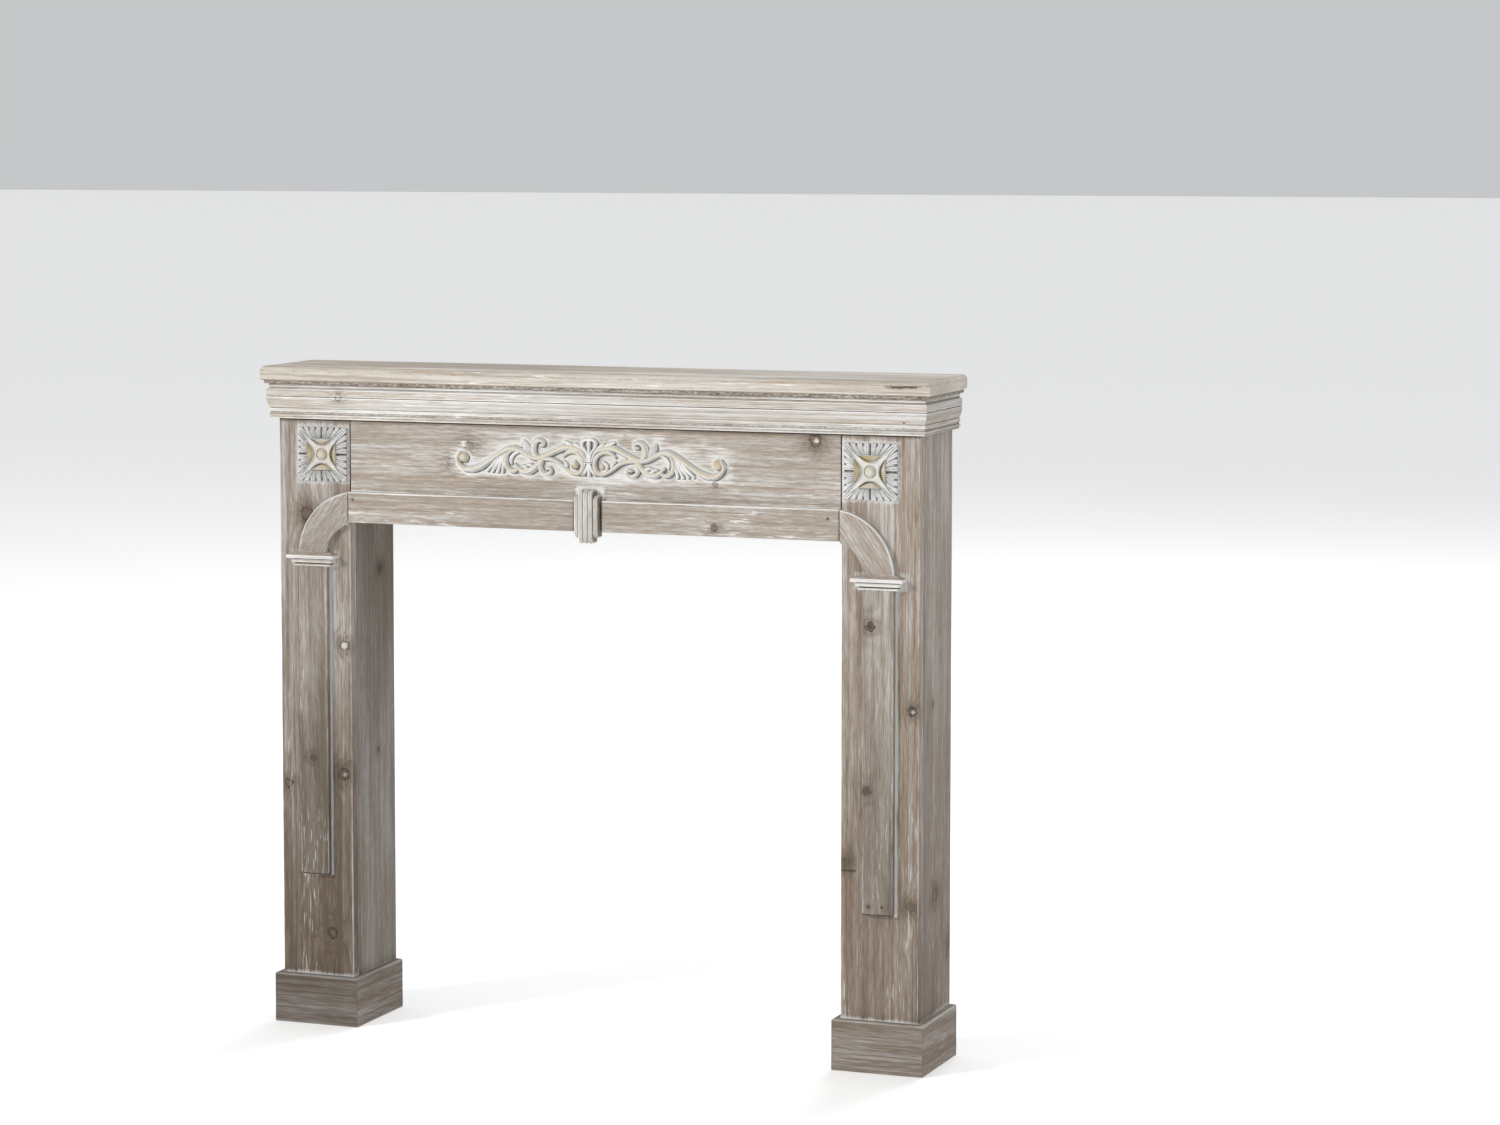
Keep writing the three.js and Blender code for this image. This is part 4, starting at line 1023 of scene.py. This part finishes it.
def section_height(kind, u, along):
    """Height across a stroke, u from -1 on its right to 1 on its left.

    plain is a round back, stem a broad one with a fine line cut along its right, cone has rows of
    small scales, and band is nearly flat.
    """
    back = np.clip(1 - np.abs(u) ** 2.4, 0, 1) ** 0.6
    if kind == "stem":
        broad = np.clip(1 - np.abs((u - 0.05) / 0.96) ** 2.6, 0, 1) ** 0.6
        return broad - 0.3 * fading(u + 0.5, 0.09)
    if kind == "cone":
        return back * (0.75 + 0.25 * np.sin(along / 2.6) * np.sin(u * 7.5))
    if kind == "band":
        return np.clip(1 - np.abs(u) ** 4, 0, 1) ** 0.5
    return back


def stroke_field(strokes, domes, px, pz, fuller):
    """Distance outside the strokes (negative inside), height and gilding, all in stroke units.

    Each stroke is a chain of tapered pieces; a point takes the nearest piece's half width and
    relief. The outline is the least distance and the height is the greatest height. The gilding
    lies on the crest of stems and on domes.
    """
    outside, height, gilt = np.full(px.shape, 1e3), np.zeros(px.shape), np.zeros(px.shape)
    for kind, stations in strokes:
        path = smooth_path(stations)
        path[:, 2] *= fuller.get(kind, 1.0)
        start, span = path[:-1], np.diff(path, axis=0)
        near = np.flatnonzero(
            (px > path[:, 0].min() - 60) & (px < path[:, 0].max() + 60)
            & (pz > path[:, 1].min() - 60) & (pz < path[:, 1].max() + 60)
        )
        qx, qz = px[near, None] - start[None, :, 0], pz[near, None] - start[None, :, 1]
        length = np.hypot(span[:, 0], span[:, 1]) + 1e-9
        t = np.clip((qx * span[:, 0] + qz * span[:, 1]) / length ** 2, 0, 1)
        distance = np.hypot(qx - t * span[:, 0], qz - t * span[:, 1])
        half = (start[:, 2] + t * span[:, 2]) / 2
        gap = distance - half
        best = gap.argmin(axis=1)
        row = np.arange(len(near))
        side = np.sign(span[best, 0] * qz[row, best] - span[best, 1] * qx[row, best])
        u = side * distance[row, best] / half[row, best]
        run = np.concatenate([[0], np.cumsum(length)])[best] + t[row, best] * length[best]
        relief = start[best, 3] + t[row, best] * span[best, 3]
        rise = relief * section_height(kind, np.clip(u, -1, 1), run)
        crest = 0.75 * (kind == "stem") * fading(u - 0.3, 0.55)
        gilt[near] = np.where(rise > height[near], crest, gilt[near])
        height[near] = np.maximum(height[near], rise)
        outside[near] = np.minimum(outside[near], gap[row, best])
    for dome_x, dome_z, radius, relief in domes:
        away = np.hypot(px - dome_x, pz - dome_z)
        height = np.maximum(height, relief * np.sqrt(np.clip(1 - (away / radius) ** 3, 0, 1)))
        gilt = np.where(away < 0.9 * radius, 1.0, gilt)
        outside = np.minimum(outside, away - radius)
    return outside, height, gilt


def carved_relief(field, lo, hi, step, relief, foot):
    """A closed relief on the face: a grid of points raised by relief * the field's height.

    Squares wholly outside the outline are left out, and points just outside it are moved onto it
    along the distance's slope. The back is the same grid at the face, and walls join them. The
    mark painted_shade is painted shade where the neighbourhood is higher and painted shadow in the
    lee of higher parts up and to the left, together with the field's own dark marks.
    """
    grid_x, grid_z = np.meshgrid(spaced(lo[0], hi[0], step), spaced(lo[1], hi[1], step), indexing="ij")
    shape = grid_x.shape
    fields = field(grid_x.ravel(), grid_z.ravel())
    outside, height, gilt, dark = (values.reshape(shape) for values in fields)
    inside = outside < 0
    kept = inside[:-1, :-1] | inside[1:, :-1] | inside[:-1, 1:] | inside[1:, 1:]
    for _ in range(2):
        touching = kept[:-1, :-1] & kept[1:, 1:] & ~kept[1:, :-1] & ~kept[:-1, 1:]
        kept[1:, :-1] |= touching
        touching = ~kept[:-1, :-1] & ~kept[1:, 1:] & kept[1:, :-1] & kept[:-1, 1:]
        kept[:-1, :-1] |= touching
    slope_x, slope_z = np.gradient(outside, step)
    size = np.maximum(slope_x ** 2 + slope_z ** 2, 0.25)
    shift = np.where(inside, 0, np.clip(outside, 0, 1.5 * step))
    grid_x = np.clip(grid_x - shift * slope_x / size, lo[0], hi[0])
    grid_z = np.clip(grid_z - shift * slope_z / size, lo[1], hi[1])
    height = np.where(inside, np.maximum(height, foot), foot)
    number = np.arange(grid_x.size).reshape(shape)
    corner = {"a": number[:-1, :-1], "b": number[1:, :-1], "c": number[1:, 1:], "d": number[:-1, 1:]}
    a, b, c, d = (corner[key][kept] for key in "abcd")
    back = grid_x.size
    faces = [np.stack([a, b, c, d], axis=1), np.stack([d, c, b, a], axis=1) + back]
    padded = np.pad(kept, 1)
    for (di, dj), (start, end) in {
        (0, -1): ("a", "b"), (1, 0): ("b", "c"), (0, 1): ("c", "d"), (-1, 0): ("d", "a"),
    }.items():
        edge = kept & ~padded[1 + di:padded.shape[0] - 1 + di, 1 + dj:padded.shape[1] - 1 + dj]
        p, q = corner[start][edge], corner[end][edge]
        faces.append(np.stack([q, p, p + back, q + back], axis=1))
    used, faces = np.unique(np.concatenate(faces), return_inverse=True)
    points = np.concatenate([
        np.stack([grid_x.ravel(), FRONT - relief * height.ravel(), grid_z.ravel()], axis=1),
        np.stack([grid_x.ravel(), np.full(back, FRONT), grid_z.ravel()], axis=1),
    ])[used]
    # Painted shade in recesses (soft above height) and painted shadow in the lee of higher parts up and
    # to the left.
    soft = height
    for _ in range(5):
        wide = np.pad(soft, 1, mode="edge")
        soft = (wide[:-2, 1:-1] + wide[2:, 1:-1] + wide[1:-1, :-2] + wide[1:-1, 2:] + soft) / 5
    wide = np.pad(height, 4, mode="edge")
    lee = np.max([
        wide[4 - s:4 - s + shape[0], 4 + s:4 + s + shape[1]] - height - 0.05 * s for s in (1, 2)
    ], axis=0)
    painted_shade = np.maximum(np.maximum(5.0 * lee - 1.2, 2.2 * (soft - height) - 0.3), dark)
    marks = {
        "rubbed": np.tile(np.clip(gilt, 0, 1).ravel(), 2)[used],
        "painted_shade": np.tile(np.clip(painted_shade, 0, 1).ravel(), 2)[used],
    }
    return points, faces.reshape(-1, 4).tolist(), marks


ROSETTE_HALF, ROSETTE_RELIEF = 42 * MM, 10 * MM
ROSETTE_CENTRES = {"left": (-0.4336, 0, 0.8685), "right": (0.4336, 0, 0.8685)}
ROSETTE_LIP, ROSETTE_BUTTON = 545, 188
ROSETTE_RIM = [[0, 318], [120, 332], [270, 412], [420, 528], [600, 662], [800, 830], [950, 958]]
ROSETTE_STROKES = [
    ("plain", [[74, 590, 56, .85], [82, 765, 80, .9], [83, 935, 110, .62]]),
    ("plain", [[126, 590, 56, .85], [148, 765, 80, .9], [167, 935, 110, .62]]),
    ("plain", [[209, 590, 56, .85], [287, 765, 80, .9], [333, 935, 110, .62]]),
    ("plain", [[261, 592, 54, .85], [353, 768, 80, .9], [417, 935, 110, .62]]),
    ("plain", [[349, 600, 50, .8], [482, 775, 80, .88], [583, 935, 110, .6]]),
    ("plain", [[401, 612, 48, .8], [548, 785, 78, .86], [667, 938, 106, .6]]),
    ("plain", [[510, 665, 42, .72], [684, 815, 72, .8], [828, 940, 98, .58]]),
    ("plain", [[600, 725, 36, .66], [750, 852, 58, .72], [912, 948, 66, .5]]),
    ("plain", [[across, up, 32, 0.82 - 0.15 * (across > 700)] for across, up in ROSETTE_RIM]),
    ("plain", [[0, 548, 52, 1], [200, 546, 52, 1], [330, 542, 44, .92], [425, 545, 34, .8]]),
]


def rosette_field(x, z):
    """The rosette about its centre: eight mirrored copies of one half side, in thousandths.

    Under the strokes lie the plate (inside the rim curve), the cupped facets that rise from the
    rim to the lip, and the low ground of the leaves, with a deep notch in the middle of a side.
    """
    px, pz = np.abs(x) / ROSETTE_HALF * 1000, np.abs(z) / ROSETTE_HALF * 1000
    across, up, away = np.minimum(px, pz), np.maximum(px, pz), np.hypot(px, pz)
    rim = np.interp(across, *np.array(ROSETTE_RIM, float).T)
    cup = (up > rim) & (up < ROSETTE_LIP)
    plate = np.where((away > 180) & (away < 225), 0.3, 0.46 + 0.12 * away / 1000)
    ground = np.where(up <= rim, plate, np.interp(up, [820, 890, 960, 1000], [0.47, 0.26, 0.12, 0.04]))
    slope = np.clip((up - rim) / np.maximum(ROSETTE_LIP - rim, 1), 0, 1)
    ground = np.where(cup, 0.12 + 0.8 * slope, ground)
    notch = np.clip(1 - (across / (50 - 0.05 * (up - 565))) ** 2, 0, 1) * (up > 568) * (up < 880)
    ground = ground * (1 - 0.8 * notch)
    _, height, _ = stroke_field(ROSETTE_STROKES, [], across, up, {})
    button = np.sqrt(np.clip(1 - (away / ROSETTE_BUTTON) ** 3.5, 0, 1))
    height = np.maximum(np.maximum(height * (1 - 0.9 * notch), ground), button)
    lip = fading(up - ROSETTE_LIP, 30) * (across < 420)
    gilt = np.maximum(np.maximum(cup * 1.0, 0.7 * (away < 180)), 0.5 * lip)
    gilt = np.maximum(gilt, 0.3 * (up <= rim) * (away < 500))
    # Painted shade: dark in the notch and in the low ground between the leaves, most near the border,
    # where it is painted shadow of the tips.
    between = np.clip((0.5 - height) / 0.2, 0, 1) * (up > 560) * (up < 972) * (up > rim + 40)
    dark = np.maximum(0.9 * notch, np.where(up > 850, 0.85, 0.62) * between)
    return up - 1000, height, gilt, dark


LIME_THIN_AND_THICK = (0.66, 0.66, 0.65), (0.80, 0.795, 0.78)
# SHADE_PAINT is the colour of the painted shade and painted shadow on the carvings.
OCHRE, SHADE_PAINT = (0.47, 0.38, 0.21, 1), (0.10, 0.09, 0.08, 1)


def carved_material(name, tone):
    """Cast ornament under lime: warm white, ochre where it is gilt, and painted shade and painted shadow
    where the mark painted_shade lies.
    """
    material, tree, place = new_material(name)
    blotch = stretched_noise(tree, place, (60, 60, 60), 3.0)
    grit = stretched_noise(tree, place, (600, 600, 600), 2.0)
    thin, thick = ((*[tone * channel for channel in colour], 1) for colour in LIME_THIN_AND_THICK)
    base = mix_colours(tree, ramp_node(tree, blotch, 0.3, 0.7), thin, thick)
    gold = math_node(tree, "MULTIPLY", mark_value(tree, "rubbed"), ramp_node(tree, blotch, 0.2, 0.6))
    gilded = mix_colours(tree, math_node(tree, "MULTIPLY", gold, 0.92), base, OCHRE)
    grain = math_node(tree, "MULTIPLY_ADD", grit, 0.6, 0.55)
    dark = math_node(tree, "MULTIPLY", mark_value(tree, "painted_shade"), grain, clamp=True)
    roughness = math_node(tree, "MULTIPLY_ADD", grit, 0.2, 0.55)
    feed_shader(tree, mix_colours(tree, dark, gilded, SHADE_PAINT), roughness, grit, 0.25, 0.5 * MM, 0.3)
    return material


# The left rosette's darker tone is painted shade.
for hand, tone in {"left": 0.82, "right": 0.94}.items():
    points, faces, marks = carved_relief(
        rosette_field, [-ROSETTE_HALF] * 2, [ROSETTE_HALF] * 2, 0.56 * MM, ROSETTE_RELIEF, 0.04,
    )
    points += ROSETTE_CENTRES[hand]
    node = "rosette_" + hand
    material = carved_material("carved_lime_" + hand, tone)
    finished_piece(node + "_carving", points, faces, material, [node], marks, 60.0)
    lime_round(stiles[hand], box_gap(node), 5 * MM, 0.7)


# Scroll ornament: one cast spray of leaves and curls on the frieze, alike on both sides of a tied
# collar. Stations are in thousandths of its half length: across, up, width, relief.
SCROLL_HALF, SCROLL_CENTRE, SCROLL_RELIEF = 214.5 * MM, 868.6 * MM, 8.5 * MM
SCROLL_STROKES = [
    ("stem", [[21, 5, 19, .7], [51, 70, 28], [114, 97, 37], [179, 100, 42], [247, 72, 37],
              [312, 42, 35], [378, 21, 33], [434, 28, 33], [494, 61, 35], [569, 82, 37],
              [643, 54, 35], [716, 7, 35], [788, -40, 40], [862, -70, 42], [923, -71, 37],
              [967, -42, 30], [985, 0, 28], [965, 37, 23]]),
    ("stem", [[191, 42, 19, .6], [154, 68, 28, .8], [107, 73, 30], [61, 47, 30], [41, 0, 30],
              [48, -47, 30], [79, -77, 30], [131, -69, 28], [182, -39, 28], [228, -6, 28],
              [280, 14, 28, .8], [340, 19, 28, .7]]),
    ("plain", [[70, -70, 14, .6], [121, -54, 19, .7], [133, -19, 19, .7], [107, 2, 19, .7]]),
    ("plain", [[168, -49, 14, .5], [168, -19, 23, .7], [191, 7, 14, .4]]),
    ("plain", [[103, 103, 19, .7], [145, 124, 23, .8], [184, 140, 14, .5]]),
    ("plain", [[21, 9, 14, .6], [44, 61, 19, .7], [72, 103, 19, .7], [105, 124, 21, .7]]),
    ("plain", [[9, 14, 14, .8], [17, 65, 18, .8], [48, 105, 21, .9], [49, 140, 21, .9],
               [19, 157, 21, .9], [-5, 156, 19, .9]]),
    ("plain", [[7, -5, 14, .7], [19, -47, 19, .8], [42, -82, 21, .8]]),
    ("stem", [[373, 19, 23, .7], [408, 51, 37, .9], [413, 93, 42, 1], [396, 131, 37, 1],
              [366, 145, 30, 1], [338, 133, 26, .9], [338, 110, 23, .9], [359, 109, 23, .8]]),
    ("cone", [[438, 37, 23, .6], [457, 75, 42, .9], [473, 105, 42, .9], [487, 131, 23, .6]]),
    ("stem", [[340, 19, 23, .8], [361, -33, 30, .9], [347, -72, 30, 1], [312, -87, 28, 1],
              [283, -72, 26, .9], [287, -47, 23, .9], [310, -51, 23, .8]]),
    ("stem", [[550, 75, 19, .6], [594, 56, 23, .8], [618, 14, 33], [613, -37, 33], [587, -68, 30],
              [552, -74, 26], [531, -51, 23, .9], [550, -30, 21, .8]]),
    ("plain", [[513, 63, 14, .5], [557, 44, 19, .6], [583, 9, 21, .6], [581, -23, 14, .5]]),
    ("stem", [[359, 14, 23, .7], [387, -33, 37, .9], [434, -68, 44], [483, -76, 40],
              [522, -56, 28, .9]]),
    ("plain", [[410, -51, 19, .8], [431, -30, 23, .9], [457, -31, 14, .6]]),
    ("plain", [[452, -65, 19, .8], [473, -42, 23, .9], [499, -40, 14, .6]]),
    ("plain", [[625, 47, 14, .5], [634, -9, 21, .7], [646, -82, 19, .6]]),
    ("plain", [[634, 47, 14, .5], [655, -14, 22, .7], [685, -84, 19, .6]]),
    ("plain", [[648, 42, 14, .5], [676, -14, 22, .7], [723, -80, 19, .6]]),
    ("plain", [[667, 33, 14, .5], [704, -19, 22, .7], [762, -76, 19, .6]]),
    ("plain", [[0, 5, 14, .7], [0, 65, 19, .8], [0, 154, 23, .9]]),
    ("plain", [[0, -5, 16, .7], [0, -47, 19, .8], [0, -89, 23, .8]]),
    ("band", [[-23, 6.5, 9, .95], [23, 6.5, 9, .95]]),
    ("band", [[-23, -6.5, 9, .95], [23, -6.5, 9, .95]]),
]
STROKE_FULLNESS = {"stem": 1.16, "plain": 1.22, "cone": 1.25}
SCROLL_DOMES = [[937, 11, 36, .95], [100, -22, 23, .9], [44, -82, 14, .8]]
# SCROLL_SKIRT is how far the painted shadow skirt is moved right and down.
SCROLL_SKIRT = 1.2 * MM


def scroll_field(x, z):
    """The scroll on the face, mirrored about its middle, on a thin skirt of painted shadow.

    The skirt is the same outline moved right and down, and is dark all over, so that a painted
    shadow line follows the lower right of every curl.
    """
    unit = SCROLL_HALF / 1000
    px, pz = np.abs(x) / unit, (z - SCROLL_CENTRE) / unit
    outside, height, gilt = stroke_field(SCROLL_STROKES, SCROLL_DOMES, px, pz, STROKE_FULLNESS)
    moved_x, moved_z = np.abs(x - SCROLL_SKIRT) / unit, pz + SCROLL_SKIRT / unit
    skirt, _, _ = stroke_field(SCROLL_STROKES, SCROLL_DOMES, moved_x, moved_z, STROKE_FULLNESS)
    return np.minimum(outside - 1.5, skirt) * unit, height, gilt, 1.0 * (outside > 0)


lo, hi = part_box("scroll_ornament")
points, faces, marks = carved_relief(
    scroll_field, (lo[0], lo[2]), (hi[0], hi[2]), 0.62 * MM, SCROLL_RELIEF, 0.05,
)
material, nodes = carved_material("carved_lime_scroll", 0.97), ["scroll_ornament"]
finished_piece("scroll_carving", points, faces, material, nodes, marks, 60.0)
for reach, strength in [(5 * MM, 0.95), (30 * MM, 0.56)]:
    lime_round(frieze, lambda x, z: scroll_field(x, z)[0], reach, strength)
